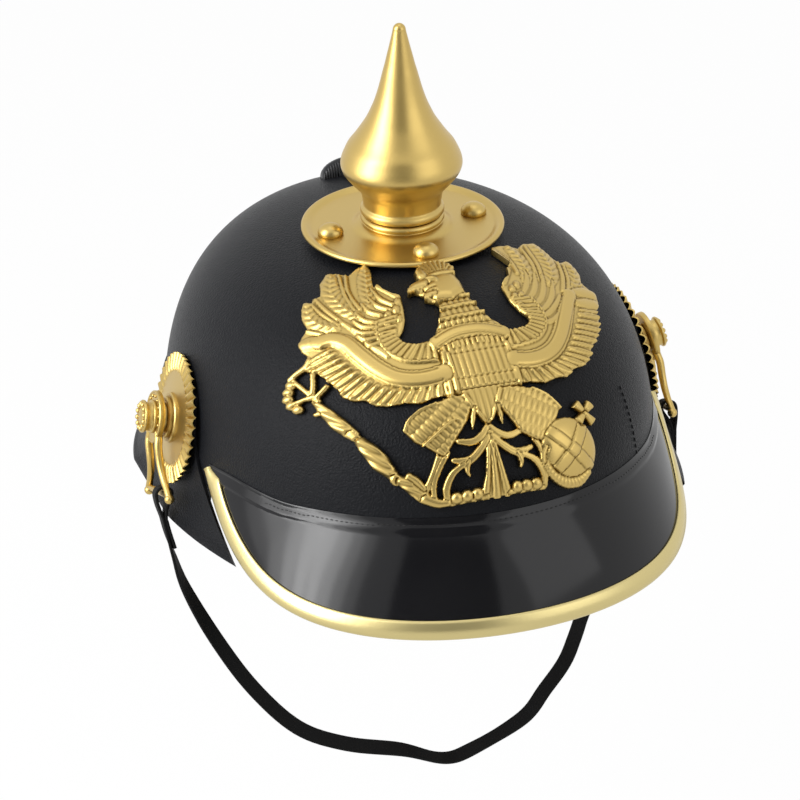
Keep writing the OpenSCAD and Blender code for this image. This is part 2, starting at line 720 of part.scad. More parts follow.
// Strap: a flat band bent in the plane it hangs in, with a loop round each bar. Routes are
// places across the helmet and below the bars, and the main one's across is in shares of a bar's.
function bar_centre(side) =
    let(out = [side * cos(post_tilt), 0, sin(post_tilt)], up = [-side * sin(post_tilt), 0, cos(post_tilt)],
        front = [0, -1, 0], down = front * sin(hang_angle) - up * cos(hang_angle),
        far = lug_waist - 0.3 + lug_drop * cos(lug_bend) + lug_t / 2 * sin(lug_bend),
        high = lug_seat - lug_drop * sin(lug_bend) + lug_t / 2 * cos(lug_bend))
    [side * post_x, -post_y, post_z] + out * high + down * far
        + (front * cos(hang_angle) + up * sin(hang_angle)) * strap_shift;
// Half height and half width of the loops' holes
loop_h = bar_d / 2 + loop_gap;
loop_w = bar_d / 2 + loop_play;
function band_side(route, d) =
    let(n = len(route))
    [for (i = [0 : n - 1])
        let(t = unit(route[min(i + 1, n - 1)] - route[max(i - 1, 0)]))
        route[i] + d * [-t[1], t[0]]];
// A rounder route through the same points
function rounded(route, k = 3) =
    let(n = len(route))
    concat([for (i = [0 : n - 2]) for (j = [0 : k - 1])
        let(t = j / k, a = route[max(i - 1, 0)], b = route[i], c = route[i + 1],
            d = route[min(i + 2, n - 1)])
        0.5 * (2 * b + t * (c - a) + t * t * (2 * a - 5 * b + 4 * c - d)
            + t * t * t * (3 * b - a - 3 * c + d))],
        [route[n - 1]]);
// The left half of the strap's outline round a bar, across from the bar and below it
sewn_end = 22;
hook_angles = [15 : 15 : 165];
inner_side = [[-loop_w - strap_t, 0], [-loop_w - 0.1, 4.8], [-0.8, 8.6], [-0.1, 11], [-0.5, 15],
    [-1.9, sewn_end], [-0.85, sewn_end + 0.5]];
loop_hole = concat([for (a = [0 : 15 : 180]) [loop_w * cos(a), -loop_h * sin(a)]],
    [[-loop_w + 1.1, 5], [0.5, 8.8], [1.05, 10.4], [1.4, 8.8], [loop_w - 0.2, 4]]);
module chin_strap() {
    bar = bar_centre(1);
    x = bar[0];
    side_x = x + loop_w + strap_t / 2;
    route = concat([[-side_x, 0], [0.2 - side_x, 4]], rounded([for (p = strap_main) [p[0] * x, p[1]]]),
        [[side_x - 0.2, 4], [side_x, 0]]);
    below = band_side(route, strap_t / 2);
    above = band_side(route, -strap_t / 2);
    n = len(route);
    hook = [for (a = hook_angles) [(loop_w + strap_t) * cos(a), -(loop_h + strap_t) * sin(a)]];
    m = len(inner_side);
    color(black) translate([0, bar[1], bar[2]])
        rotate([-90 - hang_angle, 0, 0])
            linear_extrude(strap_w, center = true)
                difference() {
                    polygon(concat(below,
                        [for (p = hook) [x + p[0], p[1]]],
                        [for (p = inner_side) [x + p[0], p[1]]],
                        [for (i = [0 : n - 1]) let(k = n - 1 - i) if (route[k][1] > sewn_end + 1) above[k]],
                        [for (i = [0 : m - 1]) let(p = inner_side[m - 1 - i]) [-x - p[0], p[1]]],
                        [for (p = hook) [p[0] - x, p[1]]]));
                    for (side = [-1, 1])
                        translate([side * x, 0])
                            scale([side, 1])
                                polygon(loop_hole);
                }
}
// Places across the helmet, in shares of a bar's, and below the bars
strap_main = [[-1.0182, 9], [-1.008, 17], [-0.994, 25], [-0.965, 39], [-0.881, 61], [-0.7645, 84],
    [-0.615, 103.5], [-0.438, 114], [-0.224, 121], [-0.065, 128], [0.056, 126.5], [0.27, 118], [0.373, 108],
    [0.466, 98], [0.522, 88], [0.569, 78.5], [0.675, 62], [0.785, 46], [0.885, 36],
    [0.957, 30.5], [0.994, 25], [1.008, 17], [1.0182, 9]];

// Eagle plate: outlines drawn in the view along the tilted axis, cut from skins of the shell.
// They are drawn for a plate 121 mm wide.
eagle_scale = eagle_w / 121;
module eagle_frame() {
    translate([eagle_x, 0, -eagle_drop])
        rotate([90 - eagle_tilt, 0, 0])
            scale([eagle_scale, eagle_scale, 1])
                children();
}
eagle_skin = 1.2;
module eagle_skins(low, high) {
    turns = [for (i = [0 : 18]) 74 * (i / 9 - 1)];
    low_lift = lift_at(seam_front - 10);
    top_lift = acos(pow(0.27, crown_round / 2));
    function skin(grow) = [for (a = turns) [for (j = [0 : 9])
        crown_pt(a, mix(low_lift, top_lift, j / 9), grow)]];
    sheet(skin(high), skin(low));
}
module stroke(route, w) {
    for (i = [0 : len(route) - 2])
        hull() {
            translate(route[i])
                circle(d = w, $fn = 6);
            translate(route[i + 1])
                circle(d = w, $fn = 6);
        }
}
module wing_outlines() {
    polygon([[-13, 31.5], [-20, 31], [-24, 32.5], [-25, 35], [-22.5, 38], [-20.5, 42], [-19.5, 46],
        [-18.2, 52], [-21, 53.5], [-23.5, 56.5], [-24.5, 59.5], [-26.5, 57.5], [-25.5, 62], [-24, 66],
        [-23.3, 70.5],
        [-27, 70.5], [-31, 68], [-32.5, 67], [-36, 69.5], [-40, 69.5], [-43.5, 66], [-45, 60.5], [-48, 60],
        [-49, 58.5], [-51, 59], [-53, 56], [-54.5, 51], [-54, 47.5], [-56, 45.5], [-58.5, 42.5], [-58.5, 39],
        [-57, 36.5], [-58.5, 34], [-60, 31.5], [-57.5, 29.5], [-55, 28], [-53, 24], [-51, 21], [-50, 17],
        [-47, 14.5], [-43, 13.5], [-40, 10.5], [-36, 9.2], [-30, 9], [-25, 7.5], [-20, 8.5], [-13, 8.5]]);
    polygon([[13, 31.5], [17, 30.5], [22, 31], [24.5, 32.5], [25.5, 34.5], [23, 38], [21, 43], [20.5, 50],
        [23, 52.5], [25.5, 54], [26.5, 58], [29, 60], [27.5, 63], [25, 67.5], [26.5, 70], [30, 70.5],
        [34, 69.5], [36.5, 68], [40, 70.5], [44, 70], [47.5, 66], [49, 62], [51, 59.5], [54, 60], [57, 57.5],
        [57.8, 53], [56.5, 49], [58.5, 46.5], [61, 43.5], [60.5, 40], [58, 37], [56.5, 34.5], [56.5, 31.5],
        [55, 28], [51, 22.5], [48, 20.5], [46.5, 17], [43, 13.5], [40, 12.5], [37, 12], [33, 9], [28, 9],
        [23, 7.5], [17, 8.5], [11, 8.5]]);
}
module body_outlines() {
    // head with beak and comb, neck, chest and the pointed end of the body
    polygon([[-14, 32], [-13, 32.5], [-10.5, 36], [-8, 40.5], [-6.5, 45], [-7, 46.5], [-11, 48.3],
        [-9.8, 50], [-11.5, 51.8], [-13, 52.6], [-16, 52], [-14.6, 54.4], [-12, 55.4], [-9, 56.8],
        [-9.8, 59], [-9.4, 62], [-6, 64.6], [0, 65.3], [4, 64], [6.2, 61], [5.2, 58], [6, 54.5],
        [6, 50], [6.8, 45], [8, 40.5],
        [10.5, 36], [14, 32.5], [13, 25], [12.5, 7.5], [5, 8], [2, 2.5], [0, -3], [-3, -5], [-5.5, -3],
        [-7.5, 2.5], [-10, 7.5], [-14, 8]]);
    polygon([[-7.6, 3], [-5.5, 0], [-9.2, -5.6], [-9, -1]]);
    polygon([[1.6, 2.6], [3.6, -1.5], [2.4, -5.4], [-0.5, -2]]);
    // feathered thighs
    polygon([[-33, -1], [-31, 2.6], [-26, 5.5], [-20, 6.8], [-13, 8.6], [-8, 8.6], [-7.6, 2.5], [-10, -2],
        [-15, -7.5], [-20, -13.2], [-22, -12.6], [-26, -9], [-30, -6]]);
    polygon([[2, 8.6], [9, 8.8], [17, 6.2], [22, 3], [26.4, -2.4], [24, -6], [16, -13.4], [14, -13],
        [8.5, -9.5], [5.6, -4], [1.6, 2.5]]);
}
module tail_outlines() {
    polygon([[-4.4, -4], [-1.8, -4], [-1.2, -12], [0, -22], [2.4, -30.5], [-10.4, -30.5], [-7, -22],
        [-5.4, -12]]);
    for (s = [-1, 1])
        translate([-3.2, 0])
            scale([s, 1]) {
                stroke([[0.6, -5.5], [3.5, -8.4], [7, -9.8], [11.5, -8.8]], 2.6);
                stroke([[0.8, -9], [4.5, -13], [9, -16], [14.5, -15]], 2.8);
                stroke([[9, -16], [10.5, -20.5]], 2);
                stroke([[11, -17], [15.5, -19.5], [18.4, -24.5], [18, -29]], 2.6);
                for (x = [7.5, 11.2, 15])
                    translate([x, -28])
                        circle(d = 4.4, $fn = 16);
                stroke([[5, -29], [17.6, -29.4]], 2);
            }
}
module regalia_outlines() {
    stroke([[-58.5, 18], [-56, 13]], 3);
    stroke([[-56, 13], [-52.5, 7], [-49.5, 3]], 4.6);
    stroke([[-50, 3], [-47.5, 0]], 3.2);
    stroke([[-47, -1], [-43.5, -7], [-40, -13]], 5.4);
    stroke([[-40, -13], [-36.8, -17.4], [-33, -20.5], [-29, -25.5]], 4.6);
    stroke([[-29, -25.5], [-24, -28.4]], 4);
    stroke([[-22.5, -12.5], [-28.6, -23.4]], 2.2);
    stroke([[-19.5, -12], [-25, -20.5], [-25.6, -27]], 2.6);
    stroke([[-64, 29.5], [-58, 18.5]], 1.8);
    stroke([[-57, 28.5], [-59, 20.5]], 1.8);
    stroke([[-54, 22.5], [-58.4, 19.5]], 1.8);
    stroke([[-64.8, 19.8], [-59, 20.4]], 1.8);
    stroke([[-64, 29.5], [-60, 31.4], [-58.5, 32]], 2);
    for (p = [[-64.6, 27.2], [-66, 24.9], [-66.6, 22.3], [-66, 19.7], [-64.4, 17.5]])
        translate(p)
            circle(d = 3.4, $fn = 12);
    translate([27, -17.5])
        circle(r = 11.6, $fn = 40);
    stroke([[13.5, -12.5], [16, -18.5], [20, -24.5]], 3);
    stroke([[19, -26.4], [24, -29], [29, -28.4], [33, -26]], 3.4);
    translate([36.4, -5])
        for (a = [42 : 90 : 312])
            rotate([0, 0, a])
                polygon([[-0.8, 0], [-1.9, 5], [1.9, 5], [0.8, 0]]);
    stroke([[33.2, -8.4], [35.6, -6]], 2.2);
}
module eagle_relief_shapes() {
    // the ribbon across the wings and the arch over the chest
    stroke([[-50, 40.5], [-45, 39.5], [-41, 34], [-36.6, 25.5], [-32, 20], [-26, 17.3], [-20, 16.3],
        [-13, 17]], 6.4);
    stroke([[46.5, 43], [40, 33], [35.5, 26], [30.5, 20.8], [25, 18], [19, 17.3], [12, 18]], 6.4);
    stroke([[-12.6, 29.4], [-7, 31.4], [-0.5, 32], [6, 31.4], [12.4, 29.4]], 4.6);
    // feathers
    for (r = [[[-31, 54], [-29.5, 61], [-26.5, 68]], [[-36.5, 51], [-37, 59], [-34, 67.5]],
        [[-40, 50], [-41.6, 60], [-38.6, 67]], [[-43.6, 48], [-47, 57.6]],
        [[-48, 45.5], [-51.6, 52], [-50.6, 57]], [[-52, 43.4], [-56.4, 42]],
        [[-27.4, 56.5], [-22.6, 49.5]], [[-30, 51.5], [-25, 45.8]],
        [[-33.6, 48], [-29, 42.6]], [[-36.6, 44], [-30.8, 38.6]], [[-46.6, 32.4], [-56, 33]],
        [[-44, 27.6], [-51.4, 25]], [[-41.6, 23], [-47.8, 18]], [[-37.4, 17.6], [-41.6, 13]],
        [[-31.6, 13.6], [-34, 10.6]], [[-24, 11.6], [-24.6, 9.2]],
        [[31.5, 54], [29.6, 61], [27.6, 68]], [[35.6, 52], [36, 59], [33.4, 67.5]],
        [[40.6, 50], [42, 60], [41.6, 68]], [[45, 50], [47.6, 57]], [[49.6, 50], [54.6, 57.4]],
        [[50, 44], [58, 43]], [[23, 50], [27.4, 56.4]], [[25, 45], [30.6, 51]], [[27.6, 40.6], [34.4, 47]],
        [[30, 36], [37.6, 43.4]], [[45, 34], [56, 36.6]], [[42.6, 28], [53.6, 27.6]],
        [[38.6, 22.6], [46.6, 18.6]],
        [[34, 17.4], [39.6, 13.6]], [[28, 13.4], [30.4, 10.4]], [[21, 12.4], [22, 9.4]],
        [[-29.6, 0.6], [-21.6, -9.6]], [[-23, 4], [-15.4, -6.4]], [[-16, 6], [-10.6, -0.6]],
        [[22.6, -1], [16.4, -10]], [[17, 3], [11, -7]], [[11, 6], [6, -1.6]]])
        stroke(r, 2);
    for (x = [-10.5 : 4.2 : 10.5])
        stroke([[x, 10.5], [x, 26]], 1.7);
    for (y = [38, 42, 46])
        stroke([[-7.4 + (y - 46) * 0.25, y], [5.6 - (y - 46) * 0.2, y]], 1.3);
    stroke([[-7.4, 59.6], [-2, 61.4], [4, 59.8]], 3);
    translate([-2, 53.6])
        circle(d = 8, $fn = 16);
    translate([27, -17.5])
        difference() {
            circle(r = 10, $fn = 28);
            stroke([[-8, -6], [8, 6]], 0.9);
        }
    stroke([[-55.4, 12], [-50.6, 4.6]], 2.4);
    stroke([[-46, -2.6], [-41, -11.4]], 3);
    stroke([[-36, -18], [-30.4, -24]], 2.4);
    stroke([[-3.2, -6], [-4, -29]], 2);
}
module eagle_plate() {
    color(gold) difference() {
        union() {
            intersection() {
                eagle_frame()
                    linear_extrude(180) {
                        wing_outlines();
                        body_outlines();
                        tail_outlines();
                        regalia_outlines();
                    }
                eagle_skins(eagle_skin, eagle_skin + eagle_t);
            }
            intersection() {
                eagle_frame()
                    linear_extrude(180)
                        eagle_relief_shapes();
                eagle_skins(eagle_skin + eagle_t / 2, eagle_skin + eagle_t + eagle_relief);
            }
        }
        translate([0, 0, plate_z - 6])
            cylinder(r = plate_d / 2 + 0.6, h = 20);
    }
}
eagle_screw_d = 3;
// The shell's point over a place of the drawing, found by halving along the tilted axis
function eagle_foot(p, q, near = 0, far = 200, k = 0) =
    let(mid = (near + far) / 2,
        at = [p + eagle_x, q * sin(eagle_tilt) - mid * cos(eagle_tilt),
            q * cos(eagle_tilt) + mid * sin(eagle_tilt) - eagle_drop],
        s = norm([at[0] / half_w, at[1] / half_l]), h = max(0, (at[2] - shell_base) / crown_rise),
        inside = pow(s, crown_round) + pow(h, crown_round) < 1)
    k > 30 ? at : inside ? eagle_foot(p, q, mid, far, k + 1) : eagle_foot(p, q, near, mid, k + 1);
module eagle_spots() {
    for (spot = eagle_screw_spots)
        let(foot = eagle_foot(spot[0] * eagle_scale, spot[1] * eagle_scale), out = shell_normal(foot))
            translate(foot)
                rotate([0, acos(out[2]), atan2(out[1], out[0])])
                    children();
}
module eagle_screws() {
    color(steel) eagle_spots() {
        translate([0, 0, -10])
            cylinder(d = eagle_screw_d, h = 10.3);
        translate([0, 0, 0.2])
            cylinder(d = 7, h = 0.4);
    }
}
module eagle_nuts() {
    color(steel) eagle_spots()
        translate([0, 0, -shell_wall - 3.4])
            difference() {
                cylinder(d = 6.4, h = 2.4, $fn = 6);
                translate([0, 0, -1])
                    cylinder(d = eagle_screw_d + 2 * turn_gap, h = 8);
            }
}

shell();
front_visor();
visor_trim();
neck_guard();
rear_spine();
spine_rivets();
spike_plate();
plate_studs();
stud_nuts();
spike_socket();
spike();
eagle_plate();
eagle_screws();
eagle_nuts();
cockade(-1);  // left_cockade
cockade(1);  // right_cockade
post(-1);  // left_post
post(1);  // right_post
post_nut(-1);  // left_post_nut
post_nut(1);  // right_post_nut
lug(-1);  // left_lug
lug(1);  // right_lug
knob(-1);  // left_knob
knob(1);  // right_knob
sweatband();
band_rivets();
crown_lining();
lining_cord();
chin_strap();
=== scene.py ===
"""Spiked parade helmet: its finished pieces, built round the helmet's fixed frame, and a studio."""

import math

import bpy
import numpy as np
from mathutils import Matrix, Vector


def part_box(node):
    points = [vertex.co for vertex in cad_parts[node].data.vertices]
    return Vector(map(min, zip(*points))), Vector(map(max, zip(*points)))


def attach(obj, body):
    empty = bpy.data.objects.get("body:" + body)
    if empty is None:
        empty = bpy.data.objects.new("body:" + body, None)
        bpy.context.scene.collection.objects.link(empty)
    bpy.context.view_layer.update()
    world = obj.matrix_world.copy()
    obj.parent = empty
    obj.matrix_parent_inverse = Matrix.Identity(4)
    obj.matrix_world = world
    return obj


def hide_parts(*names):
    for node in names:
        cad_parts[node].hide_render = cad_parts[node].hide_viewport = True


bl_info = {
    "name": "Spiked parade helmet",
    "version": (1, 0, 0),
    "blender": (4, 5, 0),
    "location": "View3D > Sidebar > Helmet",
    "description": "Builds the pieces of a spiked parade helmet",
    "category": "Object",
}

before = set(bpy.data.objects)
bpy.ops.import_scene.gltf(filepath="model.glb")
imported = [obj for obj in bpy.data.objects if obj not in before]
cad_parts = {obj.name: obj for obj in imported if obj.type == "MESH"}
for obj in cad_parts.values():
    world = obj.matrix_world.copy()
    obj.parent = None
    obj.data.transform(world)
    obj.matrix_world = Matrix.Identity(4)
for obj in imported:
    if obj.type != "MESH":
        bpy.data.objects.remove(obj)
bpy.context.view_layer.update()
MM = 0.001


# Sizes and colours

def length(name, description, default, low, high):
    return bpy.props.FloatProperty(
        name=name, description=description, default=default, min=low, max=high, unit="LENGTH", precision=5
    )


def tint(name, description, default):
    return bpy.props.FloatVectorProperty(
        name=name, description=description, default=default, size=3, min=0.0, max=1.0, subtype="COLOR"
    )


def turn(name, description, degrees):
    return bpy.props.FloatProperty(
        name=name, description=description, default=math.radians(degrees), subtype="ANGLE", unit="ROTATION"
    )


class HelmetSizes(bpy.types.PropertyGroup):
    half_width: length("Half width", "Half width of the shell", 0.097, 0.09, 0.104)
    half_length: length("Half length", "Half length of the shell", 0.126, 0.116, 0.134)
    crown_height: length("Crown height", "Height of the crown above the opening", 0.1055, 0.098, 0.114)
    wall: length("Wall", "Thickness of the shell", 0.003, 0.002, 0.004)
    plate_radius: length("Plate radius", "Radius of the spike's base plate", 0.040, 0.036, 0.044)
    stud_circle: length("Stud circle", "Radius of the circle of studs", 0.0295, 0.028, 0.031)
    spike_radius: length("Spike radius", "Widest radius of the spike", 0.0238, 0.022, 0.026)
    cockade_radius: length("Cockade radius", "Radius of a cockade", 0.026, 0.024, 0.028)
    strap_width: length("Strap width", "Width of the chin strap", 0.006, 0.005, 0.008)
    strap_thickness: length("Strap thickness", "Thickness of the chin strap", 0.0012, 0.001, 0.0016)
    post_tilt: turn("Post tilt", "Upward tilt of the side posts", 13.0)
    hang_angle: turn("Hang angle", "Forward swing of the lugs and the strap at rest", 21.0)


class HelmetLooks(bpy.types.PropertyGroup):
    gilt: tint("Gilt", "Colour of the gilt pieces", (0.56, 0.405, 0.135))
    brass: tint("Brass", "Colour of the visor's trim", (0.62, 0.52, 0.24))
    black: tint("Black", "Colour of the grained shell", (0.007, 0.0075, 0.009))
    gloss: tint("Gloss black", "Colour of the visor", (0.003, 0.003, 0.004))
    strap: tint("Strap", "Colour of the chin strap", (0.004, 0.004, 0.004))
    leather: tint("Leather", "Colour of the sweatband and the lining", (0.30, 0.17, 0.08))
    steel: tint("Steel", "Colour of the nuts and rivets", (0.55, 0.55, 0.56))


def sizes():
    return bpy.context.scene.helmet_sizes


def looks():
    return bpy.context.scene.helmet_looks


def mm(name):
    """A size from the panel in millimetres."""
    return getattr(sizes(), name) / MM


# Shapes that the pieces share. All of them are in millimetres.

SHELL_BASE = -2.5
ROUNDNESS = 3.0
SEAM_FRONT = 44.0
SEAM_DROP = 9.0
SEAM_DROP_ANGLE = 60.0
SEAM_END_LIFT = 4.0
CORNER_Y = 36.5
RIM_SIDE = 14.0
EAR_TOP = 56.0
GUARD_TOP = 32.0
GUARD_CENTRE_Y = 15.0
GUARD_FRONT_REACH = 172.0
GUARD_BACK_REACH = 135.0
GUARD_SIDE_WIDTH = 105.5
GUARD_FULLNESS = 1.019
PLATE_RIM_Z = 108.0
SPIKE_Z = 112.0
VISOR_END = 89.0
POST_Y = -3.0
POST_Z = 38.3
POST_FACE = 15.05
POST_RADIUS = 2.5
SIDES = ((-1, "left"), (1, "right"))


def ease(t):
    u = np.clip(t, 0.0, 1.0)
    return u * u * (3.0 - 2.0 * u)


def unit(vectors):
    """Vectors brought to length 1."""
    return vectors / np.linalg.norm(vectors, axis=-1, keepdims=True)


def mix(a, b, t):
    return a + (b - a) * t


def crown_rise():
    """The crown's height above the shell's base."""
    return mm("crown_height") - SHELL_BASE


def crown_share(z, grow=0.0):
    """The shell's width at a height, as a share of its width at the base."""
    height = np.clip((np.asarray(z, float) - SHELL_BASE) / (crown_rise() + grow), 0.0, 1.0)
    return (1.0 - height**ROUNDNESS) ** (1.0 / ROUNDNESS)


def shell_point(degrees, z, grow=0.0):
    """Points of the shell's surface, or of one grown by a distance, at an angle from the front."""
    angle = np.radians(degrees)
    share = crown_share(z, grow)
    x = (mm("half_width") + grow) * share * np.sin(angle)
    y = -(mm("half_length") + grow) * share * np.cos(angle)
    return np.stack(np.broadcast_arrays(x, y, z), axis=-1)


def lift_at(z, grow=0.0):
    """The profile angle in degrees, from 0 at the base to 90 at the crown, at a height."""
    height = np.clip((np.asarray(z, float) - SHELL_BASE) / (crown_rise() + grow), 0.0, 1.0)
    return np.degrees(np.arcsin(height ** (ROUNDNESS / 2.0)))


def crown_point(degrees, lift, grow=0.0):
    """The same surface by its profile angle, even at the flat crown."""
    angle = np.radians(degrees)
    rise = np.radians(lift)
    share = np.clip(np.cos(rise), 0.0, 1.0) ** (2.0 / ROUNDNESS)
    height = np.clip(np.sin(rise), 0.0, 1.0) ** (2.0 / ROUNDNESS)
    x = (mm("half_width") + grow) * share * np.sin(angle)
    y = -(mm("half_length") + grow) * share * np.cos(angle)
    z = SHELL_BASE + (crown_rise() + grow) * height
    return np.stack(np.broadcast_arrays(x, y, z), axis=-1)


def shell_normal(points):
    """Directions straight out of the shell."""
    x, y, z = np.moveaxis(points, -1, 0)
    wide, long, rise = mm("half_width"), mm("half_length"), crown_rise()
    share = np.hypot(x / wide, y / long)
    height = np.maximum((z - SHELL_BASE) / rise, 0.0)
    slope = np.stack([share * x / wide**2, share * y / long**2, height**2 / rise], axis=-1)
    return unit(slope)


def crown_z(x, y, grow=0.0):
    """The shell's height above a place."""
    share = np.clip(np.hypot(x / (mm("half_width") + grow), y / (mm("half_length") + grow)), 0.0, 1.0)
    return SHELL_BASE + (crown_rise() + grow) * (1.0 - share**ROUNDNESS) ** (1.0 / ROUNDNESS)


def off_front(degrees):
    """How far an angle is from the front, on either side."""
    return np.minimum(np.abs(degrees), 360.0 - np.abs(degrees))


def corner_angle():
    """The angle from the front at which the visor ends."""
    return math.degrees(math.acos(CORNER_Y / mm("half_length")))


def seam_z(degrees):
    """The height of the visor's seam, which falls away from the front and lifts a little near its ends."""
    away = off_front(degrees)
    lift = SEAM_END_LIFT * ease((away - 48.0) / 20.0)
    return SEAM_FRONT - SEAM_DROP * (away / SEAM_DROP_ANGLE) ** 2 + lift


def rim_z(degrees):
    """The height of the shell's lower edge, along the seam in front and level at the sides."""
    away = off_front(degrees)
    visor_end = corner_angle() * VISOR_END / 90.0
    seam = seam_z(np.minimum(away, corner_angle()))
    return mix(seam, RIM_SIDE, ease((away - visor_end + 1.0) / 4.0))


def smooth_route(points, per_span=6):
    """A rounder route through given points."""
    route = np.asarray(points, float)
    before = np.vstack([route[:1], route[:-2], route[-2:-1]])[: len(route) - 1]
    after = np.vstack([route[2:], route[-1:]])
    pieces = []
    for a, b, c, d in zip(before, route[:-1], route[1:], after):
        for t in np.arange(per_span) / per_span:
            curve = 2 * b + t * (c - a) + t * t * (2 * a - 5 * b + 4 * c - d)
            pieces.append(0.5 * (curve + t**3 * (3 * b - a - 3 * c + d)))
    pieces.append(route[-1])
    return np.array(pieces)


# Meshes

def circle_points(radius, degrees, height):
    """Points of a circle about +Z at some angles."""
    angles = np.radians(degrees)
    across, along = radius * np.cos(angles), radius * np.sin(angles)
    return np.stack([across, along, np.full(len(angles), height)], axis=-1)


def grid_faces(rows, columns, closed=False, start=0, flip=False):
    """Four-cornered faces between the points of a grid."""
    spans = rows if closed else rows - 1
    i, j = np.meshgrid(np.arange(spans), np.arange(columns - 1), indexing="ij")
    after = (i + 1) % rows
    quads = np.stack(
        [i * columns + j, i * columns + j + 1, after * columns + j + 1, after * columns + j], axis=-1
    ).reshape(-1, 4) + start
    return quads[:, ::-1] if flip else quads


def thick_sheet(outer, inner, closed=False):
    """A closed solid between two grids of points. Its first direction may run round and meet itself."""
    rows, columns = outer.shape[:2]
    count = rows * columns
    faces = [grid_faces(rows, columns, closed), grid_faces(rows, columns, closed, count, flip=True)]
    spans = rows if closed else rows - 1
    i = np.arange(spans)
    after = (i + 1) % rows
    for edge, flip in ((0, False), (columns - 1, True)):
        near = i * columns + edge
        far = after * columns + edge
        quads = np.stack([near, far, far + count, near + count], axis=-1)
        faces.append(quads[:, ::-1] if flip else quads)
    if not closed:
        j = np.arange(columns - 1)
        for row, flip in ((0, True), (rows - 1, False)):
            near = row * columns + j
            quads = np.stack([near, near + 1, near + 1 + count, near + count], axis=-1)
            faces.append(quads[:, ::-1] if flip else quads)
    points = np.concatenate([outer.reshape(-1, 3), inner.reshape(-1, 3)])
    return points, outward(points, np.concatenate(faces))


def lifted(grid, distance):
    """The grid moved along its own normals."""
    normal = np.cross(np.gradient(grid, axis=1), np.gradient(grid, axis=0))
    normal /= np.maximum(np.linalg.norm(normal, axis=-1, keepdims=True), 1e-9)
    return grid + normal * np.asarray(distance)[..., None]


def new_piece(name, points, faces, material, body, smooth):
    """A mesh from points in millimetres, riding on a body. Edges sharper than smooth degrees stay crisp."""
    mesh = bpy.data.meshes.new(name)
    mesh.from_pydata((np.asarray(points) * MM).tolist(), [], [list(map(int, face)) for face in faces])
    mesh.validate()
    mesh.materials.append(material)
    mesh.shade_smooth()
    mesh.set_sharp_from_angle(angle=math.radians(smooth))
    piece = bpy.data.objects.new(name, mesh)
    bpy.context.scene.collection.objects.link(piece)
    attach(piece, body)
    return piece


def stand_in(node, name, part, slot, body="helmet", smooth=40.0):
    """A piece made from (points, faces) that takes the place of one of the frame's nodes."""
    piece = new_piece(name, *part, finish(slot), body, smooth)
    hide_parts(node)
    return piece


def on_both_sides(kind, ending, part, smooth, body=None, swing=0.0):
    """A gilt part set on both posts. The right one is a mirror image, so its faces are turned round."""
    points, faces = part
    for side, name in SIDES:
        node = name + kind
        turned = faces if side < 0 else [face[::-1] for face in faces]
        stand_in(node, node + ending, (on_post(side, swing)(points), turned), "gilt", body or node, smooth)


def outward(points, faces):
    """The faces turned so that the closed mesh holds a positive volume."""
    points = np.asarray(points, float)
    volume = 0.0
    for face in faces:
        corners = points[list(face)]
        for k in range(1, len(corners) - 1):
            volume += np.dot(corners[0], np.cross(corners[k], corners[k + 1]))
    return faces if volume > 0 else [list(face)[::-1] for face in faces]


def spun(profile, steps):
    """Points of a profile of (radius, height) turned about +Z."""
    radii, heights = np.asarray(profile, float).T
    angles = np.arange(steps) * 2 * math.pi / steps
    rings = [np.outer(np.cos(angles), radii), np.outer(np.sin(angles), radii), np.tile(heights, (steps, 1))]
    return np.stack(rings, axis=-1).reshape(-1, 3)


def lathe(profile, steps):
    """A closed solid turned about +Z from a profile of (radius, height) that starts and ends on the axis."""
    columns = len(profile) - 2
    faces = [list(face) for face in grid_faces(steps, columns, closed=True)]
    points = np.vstack([spun(profile[1:-1], steps), [[0, 0, profile[0][1]], [0, 0, profile[-1][1]]]])
    low = steps * columns
    for i in range(steps):
        after = (i + 1) % steps
        faces.append([i * columns, after * columns, low])
        faces.append([i * columns + columns - 1, low + 1, after * columns + columns - 1])
    return points, outward(points, faces)


def tube_faces(rings, sides, closed=False):
    """Faces between rings of points, which run on round into the first ring where closed."""
    faces = []
    for i in range(rings if closed else rings - 1):
        after = (i + 1) % rings
        for j in range(sides):
            beside = (j + 1) % sides
            faces.append([i * sides + j, i * sides + beside, after * sides + beside, after * sides + j])
    return faces


def ring_lathe(profile, steps=72):
    """A closed solid of revolution about +Z from a closed outline of (radius, height) off the axis."""
    points = spun(profile, steps)
    return points, outward(points, tube_faces(steps, len(profile), closed=True))


def rod(rings):
    """A closed solid through rings of points, with a cap at each end."""
    count, sides = rings.shape[:2]
    points = rings.reshape(-1, 3)
    faces = tube_faces(count, sides)
    faces.append(list(range(sides)))
    faces.append([(count - 1) * sides + j for j in range(sides)][::-1])
    return points, outward(points, faces)


def joined(parts):
    """Several (points, faces) as one."""
    points = []
    faces = []
    start = 0
    for some_points, some_faces in parts:
        points.append(np.asarray(some_points, float))
        faces.extend([[int(k) + start for k in face] for face in some_faces])
        start += len(some_points)
    return np.vstack(points), faces


def ball(centre, radius, segments=16):
    """A closed ball."""
    half = segments // 2
    turns = [math.pi * k / half for k in range(half + 1)]
    profile = [(radius * math.sin(turn), -radius * math.cos(turn)) for turn in turns]
    points, faces = lathe(profile, segments)
    return points + np.asarray(centre, float), faces


# The side posts' own directions

def post_axes(side):
    """A post's outward, upward and forward directions."""
    tilt = sizes().post_tilt
    out = np.array([side * math.cos(tilt), 0.0, math.sin(tilt)])
    up = np.array([-side * math.sin(tilt), 0.0, math.cos(tilt)])
    front = np.array([0.0, -1.0, 0.0])
    return out, up, front


